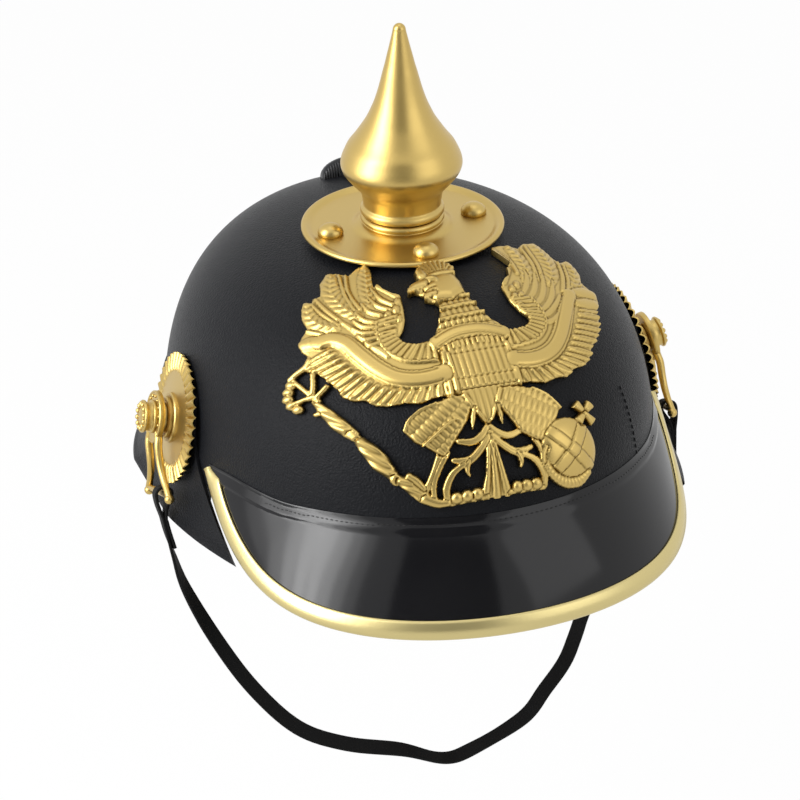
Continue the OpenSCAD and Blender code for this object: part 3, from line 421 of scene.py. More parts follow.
def post_origin(side):
    """The point on a post's axis at the shell's side, read from the frame's post."""
    low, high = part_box("left_post" if side < 0 else "right_post")
    outer_x = max(abs(low[0]), abs(high[0])) / MM
    reach = POST_FACE * math.cos(sizes().post_tilt) + POST_RADIUS * math.sin(sizes().post_tilt)
    return np.array([side * (outer_x - reach), POST_Y, POST_Z])


def on_post(side, swing=0.0):
    """Sends local points, x to the front, y up and z outwards, onto a post, swung forwards by an angle."""
    out, up, front = post_axes(side)
    origin = post_origin(side)
    raised = front * math.cos(swing) + up * math.sin(swing)
    upright = up * math.cos(swing) - front * math.sin(swing)

    def place(points):
        return origin + points[:, :1] * raised + points[:, 1:2] * upright + points[:, 2:] * out

    return place


# Finishes

# painted shade in the eagle's recesses: how dark the gilt is painted where they are deepest
PAINTED_SHADE_TONE = 0.34


def new_material(name, colour, metallic, roughness, **more):
    material = bpy.data.materials.new(name)
    material.use_nodes = True
    shader = material.node_tree.nodes["Principled BSDF"]
    shader.inputs["Base Color"].default_value = (*colour, 1.0)
    shader.inputs["Metallic"].default_value = metallic
    shader.inputs["Roughness"].default_value = roughness
    for socket, value in more.items():
        shader.inputs[socket.replace("_", " ")].default_value = value
    material.diffuse_color = (*colour, 1.0)
    return material


def add_grain(material, size, depth, detail=3.0):
    """Fine bump on the object's own coordinates. size is that of a grain in metres."""
    tree = material.node_tree
    place = tree.nodes.new("ShaderNodeTexCoord")
    noise = tree.nodes.new("ShaderNodeTexNoise")
    noise.inputs["Scale"].default_value = 1.0 / size
    noise.inputs["Detail"].default_value = detail
    bump = tree.nodes.new("ShaderNodeBump")
    bump.inputs["Distance"].default_value = depth
    tree.links.new(place.outputs["Object"], noise.inputs["Vector"])
    tree.links.new(noise.outputs["Fac"], bump.inputs["Height"])
    tree.links.new(bump.outputs["Normal"], tree.nodes["Principled BSDF"].inputs["Normal"])


def gilt_metal():
    """Satin gilt. A mesh may darken its recesses with painted shade, by an attribute of its own."""
    material = new_material("gilt_metal", looks().gilt, 1.0, 0.36)
    tree = material.node_tree
    painted_recess_shade = tree.nodes.new("ShaderNodeAttribute")
    painted_recess_shade.attribute_name = "painted_recess_shade"
    tone = tree.nodes.new("ShaderNodeMix")
    tone.data_type = "RGBA"
    # the second colour is painted shade, mixed in where the mesh's attribute marks a recess
    tone.inputs[6].default_value = (*looks().gilt, 1.0)
    tone.inputs[7].default_value = (*(PAINTED_SHADE_TONE * c**1.5 for c in looks().gilt), 1.0)
    tree.links.new(painted_recess_shade.outputs["Fac"], tone.inputs[0])
    tree.links.new(tone.outputs[2], tree.nodes["Principled BSDF"].inputs["Base Color"])
    add_grain(material, 0.0012, 0.00003, detail=4.0)
    return material


def pale_brass():
    material = new_material("pale_brass", looks().brass, 1.0, 0.34)
    add_grain(material, 0.0015, 0.00003, detail=4.0)
    return material


def grained_black():
    material = new_material("grained_black", looks().black, 0.0, 0.38, Specular_IOR_Level=0.09)
    add_grain(material, 0.0008, 0.00045)
    return material


def smooth_black():
    material = new_material("smooth_black", looks().black, 0.0, 0.38, Specular_IOR_Level=0.3)
    add_grain(material, 0.004, 0.0001)
    return material


def gloss_black():
    return new_material("gloss_black", looks().gloss, 0.0, 0.13, Specular_IOR_Level=0.34)


def strap_black():
    material = new_material("strap_black", looks().strap, 0.0, 0.7, Specular_IOR_Level=0.15)
    add_grain(material, 0.0006, 0.0001)
    return material


def tan_leather():
    material = new_material("tan_leather", looks().leather, 0.0, 0.6)
    add_grain(material, 0.0014, 0.0002)
    return material


def plain_steel():
    return new_material("plain_steel", looks().steel, 1.0, 0.35)


FINISHES = {
    "gilt": gilt_metal,
    "pale_brass": pale_brass,
    "grained_black": grained_black,
    "dark_band": smooth_black,
    "patent_black": gloss_black,
    "strap_black": strap_black,
    "black_cord": strap_black,
    "tan_leather": tan_leather,
    "steel": plain_steel,
}
made = {}


def finish(name):
    """The material for one of the record's slots, made once."""
    maker = FINISHES[name]
    if maker.__name__ not in made:
        made[maker.__name__] = maker()
    return made[maker.__name__]


def dress_node(node, slot):
    """Gives a kept frame node its finish."""
    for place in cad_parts[node].material_slots:
        place.material = finish(slot)


# Camera and studio

CAMERA_AZIMUTH = -17.2
CAMERA_ELEVATION = 28.5
CAMERA_ROLL = -1.06
CAMERA_DISTANCE = 1.1
# pixels of the photograph to a millimetre at the place that the camera aims at
CAMERA_SCALE = 2.488
CAMERA_AIM = 0.058
CAMERA_SIDE = -0.0018
CAMERA_RISE = -0.0268
SENSOR = 36.0
PHOTO_SIDE = 800.0
FLOOR_Z = -0.30
FLOOR_HALF = 6.0
FLOOR_TONE = 0.97
FLOOR_GLOW = 0.96
WORLD_LIGHT = 0.45
LAMP_AIM = (0.0, 0.0, 0.06)
# azimuth in degrees and power of each strip
KEY_STRIPS = (
    (-104.0, 0.5), (-98.0, 1.7), (-92.0, 3.6), (-86.0, 5.2), (-80.0, 5.2), (-74.0, 3.4), (-68.0, 1.6),
    (-62.0, 0.6),
)
KEY_REACH = 1.2
KEY_HEIGHT = 0.62
KEY_WIDTH = 0.13
KEY_LENGTH = 1.2
CARD_AZIMUTH = -19.0
CARD_REACH = 1.35
CARD_HALF_WIDTH = 0.62
CARD_LOW = 0.12
CARD_HIGH = 1.5
CARD_TONE = 0.3


def pose(right, up, back, place):
    """A place and a turn for a camera or a lamp, which look along minus back."""
    rows = [[float(column[k]) for column in (right, up, back, place)] for k in range(3)]
    return Matrix([*rows, [0.0, 0.0, 0.0, 1.0]])


class HELMET_OT_camera(bpy.types.Operator):
    """Places the camera where the photograph was taken from"""

    bl_idname = "helmet.camera"
    bl_label = "Camera"

    def execute(self, context):
        a = math.radians(CAMERA_AZIMUTH)
        e = math.radians(CAMERA_ELEVATION)
        r = math.radians(CAMERA_ROLL)
        back = np.array([math.sin(a) * math.cos(e), -math.cos(a) * math.cos(e), math.sin(e)])
        level = np.array([math.cos(a), math.sin(a), 0.0])
        upright = np.array([-math.sin(e) * math.sin(a), math.sin(e) * math.cos(a), math.cos(e)])
        right = math.cos(r) * level + math.sin(r) * upright
        up = math.cos(r) * upright - math.sin(r) * level
        aim = np.array([0.0, 0.0, CAMERA_AIM]) + CAMERA_SIDE * right + CAMERA_RISE * up
        place = aim + CAMERA_DISTANCE * back
        data = bpy.data.cameras.new("camera")
        data.sensor_width = SENSOR
        data.lens = SENSOR * CAMERA_SCALE * CAMERA_DISTANCE * 1000.0 / PHOTO_SIDE
        camera = bpy.data.objects.new("camera", data)
        camera.matrix_world = pose(right, up, back, place)
        context.scene.collection.objects.link(camera)
        context.scene.camera = camera
        return {"FINISHED"}


def softbox(name, place, width, height, power):
    """A lamp like a lit panel, aimed at the helmet."""
    data = bpy.data.lights.new(name, "AREA")
    data.shape = "RECTANGLE"
    data.size = width
    data.size_y = height
    data.energy = power
    lamp = bpy.data.objects.new(name, data)
    back = unit(np.array(place) - np.array(LAMP_AIM))
    right = unit(np.cross([0.0, 0.0, 1.0], back))
    up = np.cross(back, right)
    lamp.matrix_world = pose(right, up, back, place)
    bpy.context.scene.collection.objects.link(lamp)


def stage_panel(name, corners, material):
    """A flat panel that isn't part of the helmet."""
    mesh = bpy.data.meshes.new(name)
    mesh.from_pydata(corners, [], [(0, 1, 2, 3)])
    mesh.materials.append(material)
    panel = bpy.data.objects.new(name, mesh)
    bpy.context.scene.collection.objects.link(panel)
    return panel


def blend_shaders(tree, share, first, second):
    """The first shader where share is 0 and the second where it is 1."""
    choose = tree.nodes.new("ShaderNodeMixShader")
    tree.links.new(share, choose.inputs[0])
    tree.links.new(first.outputs[0], choose.inputs[1])
    tree.links.new(second.outputs[0], choose.inputs[2])
    return choose


def seen_directly(tree):
    """1 where the camera, a reflection or a refraction looks straight at the surface."""
    path = tree.nodes.new("ShaderNodeLightPath")
    total = path.outputs["Is Camera Ray"]
    for name in ("Is Glossy Ray", "Is Transmission Ray"):
        add = tree.nodes.new("ShaderNodeMath")
        add.operation = "MAXIMUM"
        tree.links.new(total, add.inputs[0])
        tree.links.new(path.outputs[name], add.inputs[1])
        total = add.outputs[0]
    return total


def glowing_floor():
    """Pale, and near white where it is seen directly. From below it lets the view through."""
    pale = new_material("pale_floor", (FLOOR_TONE, FLOOR_TONE, FLOOR_TONE), 0.0, 0.9)
    tree = pale.node_tree
    glow = tree.nodes.new("ShaderNodeEmission")
    glow.inputs["Strength"].default_value = 1.0
    share = tree.nodes.new("ShaderNodeMath")
    share.operation = "MULTIPLY"
    share.inputs[1].default_value = FLOOR_GLOW
    tree.links.new(seen_directly(tree), share.inputs[0])
    above = blend_shaders(tree, share.outputs[0], tree.nodes["Principled BSDF"], glow)
    side = tree.nodes.new("ShaderNodeNewGeometry")
    clear = tree.nodes.new("ShaderNodeBsdfTransparent")
    one_sided = blend_shaders(tree, side.outputs["Backfacing"], above, clear)
    tree.links.new(one_sided.outputs[0], tree.nodes["Material Output"].inputs["Surface"])
    return pale


class HELMET_OT_studio(bpy.types.Operator):
    """Makes the floor, the white surroundings, the lamps and a dark card"""

    bl_idname = "helmet.studio"
    bl_label = "Studio"

    def execute(self, context):
        scene = context.scene
        scene.view_settings.view_transform = "Standard"
        world = bpy.data.worlds.new("studio")
        scene.world = world
        world.use_nodes = True
        tree = world.node_tree
        light = tree.nodes["Background"]
        seen = tree.nodes.new("ShaderNodeBackground")
        for shader, strength in ((light, WORLD_LIGHT), (seen, 1.0)):
            shader.inputs["Color"].default_value = (1.0, 1.0, 1.0, 1.0)
            shader.inputs["Strength"].default_value = strength
        choose = blend_shaders(tree, seen_directly(tree), light, seen)
        tree.links.new(choose.outputs[0], tree.nodes["World Output"].inputs["Surface"])
        square = ((-1, -1), (1, -1), (1, 1), (-1, 1))
        corners = [(x * FLOOR_HALF, y * FLOOR_HALF, FLOOR_Z) for x, y in square]
        stage_panel("floor", corners, glowing_floor())

        # strips side by side, brightest in the middle, so that their reflection fades at both sides
        for azimuth, power in KEY_STRIPS:
            angle = math.radians(azimuth)
            place = (KEY_REACH * math.sin(angle), -KEY_REACH * math.cos(angle), KEY_HEIGHT)
            softbox("key", place, KEY_WIDTH, KEY_LENGTH, power)
        softbox("fill_right", (0.78, -1.0, 0.72), 0.95, 0.9, 2.4)
        softbox("top", (0.1, 0.2, 1.5), 0.8, 0.7, 1.4)
        self.add_card()
        return {"FINISHED"}

    def add_card(self):
        """A dark card behind the camera, which the middle of the visor and of the spike reflect."""
        angle = math.radians(CARD_AZIMUTH)
        out = np.array([math.sin(angle), -math.cos(angle), 0.0])
        across = np.array([math.cos(angle), math.sin(angle), 0.0]) * CARD_HALF_WIDTH
        corners = [
            tuple(out * CARD_REACH + across * x + np.array([0.0, 0.0, z]))
            for x, z in ((-1, CARD_LOW), (1, CARD_LOW), (1, CARD_HIGH), (-1, CARD_HIGH))
        ]
        card = stage_panel("dark_card", corners, new_material("dark_card", (CARD_TONE,) * 3, 0.0, 0.9))
        card.visible_camera = False


# Chin strap

STRAP_SHIFT = 6.5
# the bar moves further outwards than inwards in its loop as the strap swings
LOOP_INNER = 3.05
LOOP_OUTER = 3.35
LOOP_HALF_HEIGHT = 2.75
STRAP_MAIN = [
    (-1.0182, 9), (-1.008, 17), (-0.994, 25), (-0.965, 39), (-0.881, 61), (-0.7645, 84), (-0.615, 103.5),
    (-0.438, 114), (-0.224, 121), (-0.065, 128), (0.056, 126.5), (0.27, 118), (0.373, 108), (0.466, 98),
    (0.522, 88), (0.569, 78.5), (0.675, 62), (0.785, 46), (0.885, 36), (0.957, 30.5), (0.994, 25),
    (1.008, 17), (1.0182, 9),
]
# share of the strap's run and its turn about its own length there, in degrees
STRAP_TWIST = [
    (0.0, 0), (0.09, 0), (0.14, 35), (0.19, 70), (0.25, 84), (0.36, 84), (0.43, 70), (0.475, 30), (0.52, 50),
    (0.55, 30), (0.585, 62), (0.63, 80), (0.67, 60), (0.73, 36), (0.82, 26), (0.91, 0), (1.0, 0),
]
# the strap's cross-section, in shares of its half width and half thickness
STRAP_OUTLINE = (
    (-1, -0.4), (-1, 0.4), (-0.92, 1), (0.92, 1), (1, 0.4), (1, -0.4), (0.92, -1), (-0.92, -1),
)
LUG_SEAT = 8.35
LUG_THICKNESS = 2.0
LUG_WAIST = 12.0
LUG_DROP = 18.0
LUG_BEND = math.radians(11.0)


def bent(across, drop):
    """A place on the lug's bent lower part, in the middle of its thickness."""
    far = LUG_WAIST - 0.3 + drop * math.cos(LUG_BEND) + LUG_THICKNESS / 2 * math.sin(LUG_BEND)
    high = LUG_SEAT - drop * math.sin(LUG_BEND) + LUG_THICKNESS / 2 * math.cos(LUG_BEND)
    return (across, -far, high)


def bar_centre():
    """The middle of the strap's place on the right lug's bar."""
    place = on_post(1, sizes().hang_angle)
    return place(np.array([bent(STRAP_SHIFT, LUG_DROP)]))[0]


def strap_place(points):
    """Places across the helmet and below the bars, in the plane that the strap hangs in."""
    bar = bar_centre()
    swing = sizes().hang_angle
    across, below = np.asarray(points, float).T
    return np.stack([across, bar[1] - below * math.sin(swing), bar[2] - below * math.cos(swing)], axis=-1)


def soft_line(values, rounds):
    """Values along a run, averaged with their neighbours."""
    for _ in range(rounds):
        padded = np.pad(values, 1, mode="edge")
        values = 0.5 * values + 0.25 * (padded[:-2] + padded[2:])
    return values


def ribbon(route, twist):
    """The strap's flat band along a route, with slightly rounded edges, turned by twist in radians."""
    swing = sizes().hang_angle
    sideways = np.array([0.0, math.cos(swing), -math.sin(swing)])
    flow = unit(np.gradient(route, axis=0))
    normal = np.cross(flow, sideways)
    half_t = mm("strap_thickness") / 2
    half_w = mm("strap_width") / 2
    turned = np.broadcast_to(twist, len(route))
    c, s = np.cos(turned)[:, None], np.sin(turned)[:, None]
    rings = [
        route + (sideways * c + normal * s) * half_w * w + (normal * c - sideways * s) * half_t * t
        for w, t in STRAP_OUTLINE
    ]
    return rod(np.stack(rings, axis=1))


class HELMET_OT_chin_strap(bpy.types.Operator):
    """Makes the hanging chin strap with a sewn loop round each lug's bar"""

    bl_idname = "helmet.chin_strap"
    bl_label = "Chin strap"

    def execute(self, context):
        x = bar_centre()[0]
        hook = []
        for angle in np.radians(range(0, 181, 30)):
            half_width = LOOP_INNER if math.cos(angle) > 0.01 else LOOP_OUTER
            hook.append((half_width * math.cos(angle), -LOOP_HALF_HEIGHT * math.sin(angle)))
        loop = [(-0.7, 11), (-0.5, 8.2), (0.35, 5.3), (1.9, 2.6), *hook, (-LOOP_OUTER, 1.6),
                (0.35 - LOOP_OUTER, 4.5)]
        start = [(across - x, below) for across, below in loop]
        middle = smooth_route([(across * x, below) for across, below in STRAP_MAIN], 4)
        end = [(-across, below) for across, below in start[::-1]]
        flat = smooth_route([*start, *map(tuple, middle), *end], 2)
        route = strap_place(flat)
        run = np.concatenate([[0.0], np.cumsum(np.linalg.norm(np.diff(route, axis=0), axis=1))])
        shares, turns = np.array(STRAP_TWIST, float).T
        turns = np.interp(run / run[-1], shares, np.radians(turns))
        band = ribbon(route, soft_line(turns, 6))
        strap = stand_in("chin_strap", "chin_strap_band", band, "strap_black", "chin_strap")
        for side, name in SIDES:
            flat = [(side * (x + 0.5), 10.6), (side * (x - 0.05), 15), (side * (x - 1.3), 22)]
            band = ribbon(strap_place(smooth_route(flat, 3)), 0.0)
            piece = new_piece("strap_end_" + name, *band, finish("strap_black"), "chin_strap", 40.0)
        return {"FINISHED"}


# Shell

SHELL_COLUMNS = 240
SHELL_ROWS = 64
SHELL_TOP_LIFT = 88.6


class HELMET_OT_shell(bpy.types.Operator):
    """Makes the grained shell, open at the top where the spike's socket sits"""

    bl_idname = "helmet.shell"
    bl_label = "Shell"

    def execute(self, context):
        angles = np.arange(SHELL_COLUMNS) * 360.0 / SHELL_COLUMNS

        def skin(grow):
            low = lift_at(rim_z(angles), grow)[:, None]
            lift = low + (SHELL_TOP_LIFT - low) * np.linspace(0.0, 1.0, SHELL_ROWS)[None, :]
            return crown_point(angles[:, None], lift, grow)[::-1]

        dome = thick_sheet(skin(0.0), skin(-mm("wall")), closed=True)
        stand_in("shell", "shell_dome", dome, "grained_black")
        return {"FINISHED"}


# Visor and trim

VISOR_THICKNESS = 2.2
VISOR_REACH = 109.0
VISOR_CORNER_Z = 35.0
VISOR_EDGE_Z = 7.0
VISOR_SWELL = 2.2
STEP_BELOW_SEAM = 5.0
STEP_HEIGHT = 0.45
SEAM_LIP = 0.4
FLANGE_HEIGHT = 9.0
FLANGE_THICKNESS = 1.8
FLANGE_GAP = 0.7
VISOR_ANGLES = np.linspace(-VISOR_END, VISOR_END, 181)
TRIM_WIDTH = 7.4
TRIM_GAP = 0.15
TRIM_THICKNESS = 0.9


def visor_edge(degrees):
    """The visor's outer edge. Its corners are at -90 and 90 degrees."""
    angle = np.radians(degrees)
    t = 1.0 - np.cos(angle)
    corner_x = mm("half_width") * math.sin(math.radians(corner_angle()))
    x = corner_x * np.sin(angle) + 8.6 * (np.sin(3 * angle) + np.sin(angle))
    y = -CORNER_Y - VISOR_REACH * np.cos(angle) - 6.4 * (np.cos(3 * angle) - np.cos(angle))
    z = VISOR_EDGE_Z + (VISOR_CORNER_Z - VISOR_EDGE_Z) * (1.59 * t * t - 0.59 * t)
    return np.stack([x, y, z], axis=-1)


def visor_surface(degrees, shares):
    """The visor's face between the seam, at 0, and its edge, at 1."""
    around = degrees * corner_angle() / 90.0
    top = shell_point(around, seam_z(around) - 0.3, -0.5)[:, None, :]
    edge = visor_edge(degrees)[:, None, :]
    share = shares[None, :, None]
    angle = np.radians(degrees)
    bulge = unit(np.stack([np.sin(angle), -np.cos(angle), np.full_like(angle, 0.7)], axis=-1))
    swell = VISOR_SWELL * np.sin(np.pi * share) * np.cos(angle * 0.98)[:, None, None]
    return mix(top, edge, share) + bulge[:, None, :] * swell


class HELMET_OT_visor(bpy.types.Operator):
    """Makes the gloss visor with the moulded step under its seam and the flange inside"""

    bl_idname = "helmet.visor"
    bl_label = "Front visor"

    def execute(self, context):
        face = visor_surface(VISOR_ANGLES, np.linspace(0.0, 1.0, 49))
        below = np.linalg.norm(face - face[:, :1], axis=-1)
        step = STEP_HEIGHT * (1.0 - ease((below - STEP_BELOW_SEAM) / 0.9))
        raised = lifted(face, step + SEAM_LIP * (1.0 - ease((below - 0.5) / 0.7)))
        back = lifted(face, -VISOR_THICKNESS)
        around = VISOR_ANGLES * corner_angle() / 90.0
        near = -mm("wall") - FLANGE_GAP
        far = near - FLANGE_THICKNESS

        def flange(grow, rise):
            return shell_point(around, seam_z(around) + rise, grow)[:, None, :]

        outer = np.concatenate([flange(near, FLANGE_HEIGHT), flange(near, -0.3), raised], axis=1)
        inner = np.concatenate([flange(far, FLANGE_HEIGHT), flange(far, 0.2), back], axis=1)
        inner[:, 2] = flange(far, -2.4)[:, 0]
        stand_in("front_visor", "visor_shade", thick_sheet(outer, inner), "patent_black", smooth=30.0)
        return {"FINISHED"}


class HELMET_OT_visor_trim(bpy.types.Operator):
    """Makes the brass strip folded round the visor's edge"""

    bl_idname = "helmet.visor_trim"
    bl_label = "Visor trim"

    def execute(self, context):
        face = visor_surface(VISOR_ANGLES, np.array([0.0, 0.8, 1.0]))
        edge = face[:, 2]
        along = unit(np.gradient(edge, axis=0))
        back = face[:, 1] - edge
        inwards = unit(back - along * np.sum(back * along, axis=1, keepdims=True))
        up = np.cross(along, inwards)
        width = np.minimum(TRIM_WIDTH - 1.2, 0.8 * np.linalg.norm(face[:, 0] - edge, axis=1))
        groove = VISOR_THICKNESS / 2 + TRIM_GAP
        out = groove + TRIM_THICKNESS
        outside = [(1.0, out - 0.45), (0.97, out - 0.15), (0.8, out + 0.1), (0.5, out + 0.3),
                   (0.2, out + 0.2), (0.0, out), (-0.55, out * 0.85), (-1.0, out * 0.5), (-1.2, 0.0),
                   (-1.0, -out * 0.5), (-0.55, -out * 0.85), (0.0, -out), (0.3, -out), (0.6, -out)]
        inside = [(1.0, groove), (0.97, groove), (0.8, groove), (0.5, groove), (0.2, groove), (0.1, groove),
                  (0.0, groove * 0.9), (-0.15, groove * 0.6), (-0.2, 0.0), (-0.15, -groove * 0.6),
                  (0.0, -groove * 0.9), (0.1, -groove), (0.3, -groove), (0.6, -groove)]

        def swept(outline):
            rows = []
            for share, rise in outline:
                reach = share * width if share > 0.2 else np.full_like(width, share)
                rows.append(edge - up * VISOR_THICKNESS / 2 + inwards * reach[:, None] + up * rise)
            return np.stack(rows, axis=1)

        strip = thick_sheet(swept(outside), swept(inside))
        stand_in("visor_trim", "visor_edging", strip, "pale_brass", smooth=50.0)
        return {"FINISHED"}


# Neck guard

GUARD_THICKNESS = 1.3
GUARD_GAP = 0.2
GUARD_START = 80.0
GUARD_EDGE_Z = 2.2
GUARD_EDGE_SLOPE = 0.113
GUARD_BEAD = 0.5


def guard_surface(shares, drops):
    """The neck guard's outer face. Shares run round it from front to front, drops from top to edge."""
    c = shares[:, None]
    v = drops[None, :]
    start = GUARD_START - 4.0 * v - 17.0 * v**3
    around = mix(start, 360.0 - start, c)
    angle = np.radians(around)
    reach = np.where(np.cos(angle) > 0, GUARD_FRONT_REACH, GUARD_BACK_REACH)
    y = GUARD_CENTRE_Y - reach * np.cos(angle)
    x = np.sign(np.sin(angle)) * GUARD_SIDE_WIDTH * np.minimum(1.0, GUARD_FULLNESS * np.abs(np.sin(angle)))
    edge_z = GUARD_EDGE_Z - GUARD_EDGE_SLOPE * y
    top_z = mix(EAR_TOP, GUARD_TOP, ease((off_front(around) - 84.0) / 24.0))
    z = mix(top_z, edge_z, v)
    ear = ease((110.0 - off_front(around)) / 20.0)
    flare = np.clip((GUARD_TOP - z) / (GUARD_TOP - edge_z), 0.0, 1.0) ** mix(2.0, 2.9, ear)
    on_shell = shell_point(around, z, GUARD_THICKNESS + GUARD_GAP)
    edge = np.stack([x, y, z], axis=-1)
    return mix(on_shell, edge, flare[..., None])


class HELMET_OT_neck_guard(bpy.types.Operator):
    """Makes the neck guard with its ears and its beaded edge"""

    bl_idname = "helmet.neck_guard"
    bl_label = "Neck guard"

    def execute(self, context):
        drops = np.linspace(0.0, 1.0, 41)
        face = guard_surface(np.linspace(0.0, 1.0, 301), drops)
        edge_bead = GUARD_BEAD * np.exp(-(((drops - 0.985) / 0.02) ** 2))
        skirt = thick_sheet(lifted(face, edge_bead[None, :]), lifted(face, -GUARD_THICKNESS))
        stand_in("neck_guard", "neck_guard_skirt", skirt, "grained_black")
        return {"FINISHED"}


# Spike and plate

PLATE_FLOOR_Z = PLATE_RIM_Z - 1.3
PLATE_BORE = 8.75
SPIKE_SIDE = [
    (0.0, 1.0), (0.04, 0.98), (0.08, 0.94), (0.13, 0.88), (0.19, 0.77), (0.26, 0.655), (0.32, 0.565),
    (0.39, 0.485), (0.45, 0.425), (0.52, 0.37), (0.58, 0.33), (0.65, 0.287), (0.71, 0.247), (0.78, 0.206),
    (0.84, 0.17), (0.91, 0.13), (0.955, 0.106),
]
SPIKE_LENGTH = 78.0
FLARE_HEIGHT = 21.4
TIP_RADIUS = 2.5


class HELMET_OT_spike_plate(bpy.types.Operator):
    """Makes the base plate with its rolled rim and its collar"""

    bl_idname = "helmet.spike_plate"
    bl_label = "Spike plate"

    def execute(self, context):
        rim = mm("plate_radius")
        floor = PLATE_FLOOR_Z
        top = SPIKE_Z - 0.3
        upper = [(PLATE_BORE, top), (14.6, top), (15.7, top - 0.25), (16.35, top - 0.9), (16.5, top - 1.6),
                 (16.2, top - 2.2), (15.7, top - 2.7), (15.9, top - 3.1), (17.0, top - 3.3),
                 (18.2, top - 3.7), (20.0, floor + 0.25), (22.5, floor), (30.0, floor - 0.05),
                 (rim - 5.0, floor), (rim - 3.8, floor + 0.25), (rim - 2.8, floor + 0.8),
                 (rim - 1.9, PLATE_RIM_Z - 0.1), (rim - 1.1, PLATE_RIM_Z), (rim - 0.4, PLATE_RIM_Z - 0.3),
                 (rim, PLATE_RIM_Z - 0.9), (rim, PLATE_RIM_Z - 1.6)]
        lower = [(rim - 0.8, PLATE_RIM_Z - 1.9), (rim - 2.0, PLATE_RIM_Z - 1.9), (rim - 4.0, floor - 1.0),
                 (PLATE_BORE, floor - 1.0)]
        dish = ring_lathe([*smooth_route(upper, 3), *lower], 144)
        stand_in("spike_plate", "plate_dish", dish, "gilt", smooth=50.0)
        return {"FINISHED"}


class HELMET_OT_plate_studs(bpy.types.Operator):
    """Makes the four domed studs of the base plate from one stud"""

    bl_idname = "helmet.plate_studs"
    bl_label = "Plate studs"

    def execute(self, context):
        dome = [(0.0, -0.2), (4.6, -0.2), (5.0, 0.2), (5.1, 1.0), (4.7, 2.2), (3.8, 3.2), (2.5, 4.0),
                (1.1, 4.35), (0.0, 4.4)]
        shank = [(0.0, -12.0), (1.5, -12.0), (1.5, 0.0), (0.0, 0.0)]
        parts = []
        for points, faces in (lathe(dome, 48), lathe(shank, 24)):
            for place in circle_points(mm("stud_circle"), np.arange(4) * 90.0, PLATE_FLOOR_Z):
                parts.append((points + place, faces))
        stand_in("plate_studs", "stud_domes", joined(parts), "gilt")
        return {"FINISHED"}


class HELMET_OT_spike(bpy.types.Operator):
    """Makes the turned spike with its beaded neck"""

    bl_idname = "helmet.spike"
    bl_label = "Spike"

    def execute(self, context):
        flare = mm("spike_radius")
        under = [(15.0, 0.0), (15.9, 0.25), (16.45, 0.9), (16.5, 1.8), (16.3, 2.7), (15.7, 3.4),
                 (15.35, 3.9), (15.4, 5.0), (15.7, 7.0), (16.2, 9.2), (17.2, 11.0), (19.2, 13.2),
                 (21.2, 15.6), (22.8, 17.8), (23.55, 19.6)]
        above = SPIKE_LENGTH - FLARE_HEIGHT
        side = [(flare * share, FLARE_HEIGHT + above * rise) for rise, share in SPIKE_SIDE]
        tip = [
            (TIP_RADIUS * math.cos(a), SPIKE_LENGTH - TIP_RADIUS + TIP_RADIUS * math.sin(a))
            for a in np.radians([12, 35, 60, 80])
        ]
        curve = smooth_route([*under, *side, *tip], 4)
        stem = [(0.0, -18.0), (5.0, -18.0), (5.0, -0.01), (15.0, -0.01)]
        points, faces = lathe([*stem, *curve, (0.0, SPIKE_LENGTH)], 128)
        points = points + np.array([0.0, 0.0, SPIKE_Z])
        stand_in("spike", "spike_cone", (points, faces), "gilt", "spike", 50.0)
        return {"FINISHED"}


# Cockades

FLUTES = 40
STEPS_PER_FLUTE = 12
FLUTE_START = 0.7
FLUTE_DEPTH = 0.8
COLLAR_Z = 6.4


class HELMET_OT_cockades(bpy.types.Operator):
    """Makes the two cockades, a smooth dish with a fluted border and raised rings"""

    bl_idname = "helmet.cockades"
    bl_label = "Cockades"

    def execute(self, context):
        radius = mm("cockade_radius")
        around = np.arange(FLUTES * STEPS_PER_FLUTE)
        angles = around * 2 * math.pi / len(around)
        # rounded ribs with sharp valleys between them
        wave = 2.0 * np.abs(np.sin(np.pi * around / STEPS_PER_FLUTE)) ** 0.8 - 1.0
        shares = np.array([0.14, 0.3, 0.4, 0.5, 0.6, 0.66, 0.69, 0.71, 0.73, 0.76, 0.8, 0.85, 0.9, 0.95,
                           0.985, 1.0])
        heights = np.interp(shares, [0.14, 0.42, 0.6, 0.7, 0.8, 0.9, 1.0],
                            [3.4, 3.2, 2.7, 2.5, 2.3, 2.05, 1.8])
        depth = FLUTE_DEPTH * ease((shares - FLUTE_START) / 0.08)
        rim = ease((shares - 0.86) / 0.14)
        reach = radius * (shares[None, :] - 0.025 * rim[None, :] * (1.0 - wave[:, None]) * 0.5)
        height = heights[None, :] + depth[None, :] * wave[:, None]
        grid = np.stack([reach * np.cos(angles)[:, None], reach * np.sin(angles)[:, None], height], axis=-1)
        fluted = thick_sheet(grid, grid - np.array([0.0, 0.0, 0.7]), closed=True)
        outer_ring = ring_lathe([
            (2.7, 2.9), (2.7, 4.1), (8.2, 4.1), (8.8, 4.55), (9.5, 4.55), (9.9, 4.1), (10.0, 3.2),
            (10.0, 2.4), (9.0, 2.4),
        ])
        inner_ring = ring_lathe([
            (2.7, 3.8), (2.7, 6.2), (5.6, 6.2), (6.4, 5.7), (7.0, 6.2), (7.7, 6.2), (8.1, 5.7), (8.1, 4.0),
            (7.8, 3.8),
        ])
        low = COLLAR_Z - 0.3
        sleeve = ring_lathe([(5.05, low), (5.05, 8.28), (5.4, 8.28), (5.75, 7.9), (5.8, low)])
        saucer = joined([fluted, outer_ring, inner_ring, sleeve])
        on_both_sides("_cockade", "_saucer", saucer, 28.0, "helmet")
        return {"FINISHED"}


# Lugs and knobs

KNOB_SEAT = 10.4
# how far out each leg is at some drops below the lug's bend
LUG_LEG = [(6.8, 4.5), (7.8, 9.0), (10.0, 13.0), (12.5, 16.0), (14.0, 18.0), (14.5, 19.3)]
LUG_HALF_WIDTH = 14.0
BAR_RADIUS = 1.25
BALL_RADIUS = 2.0


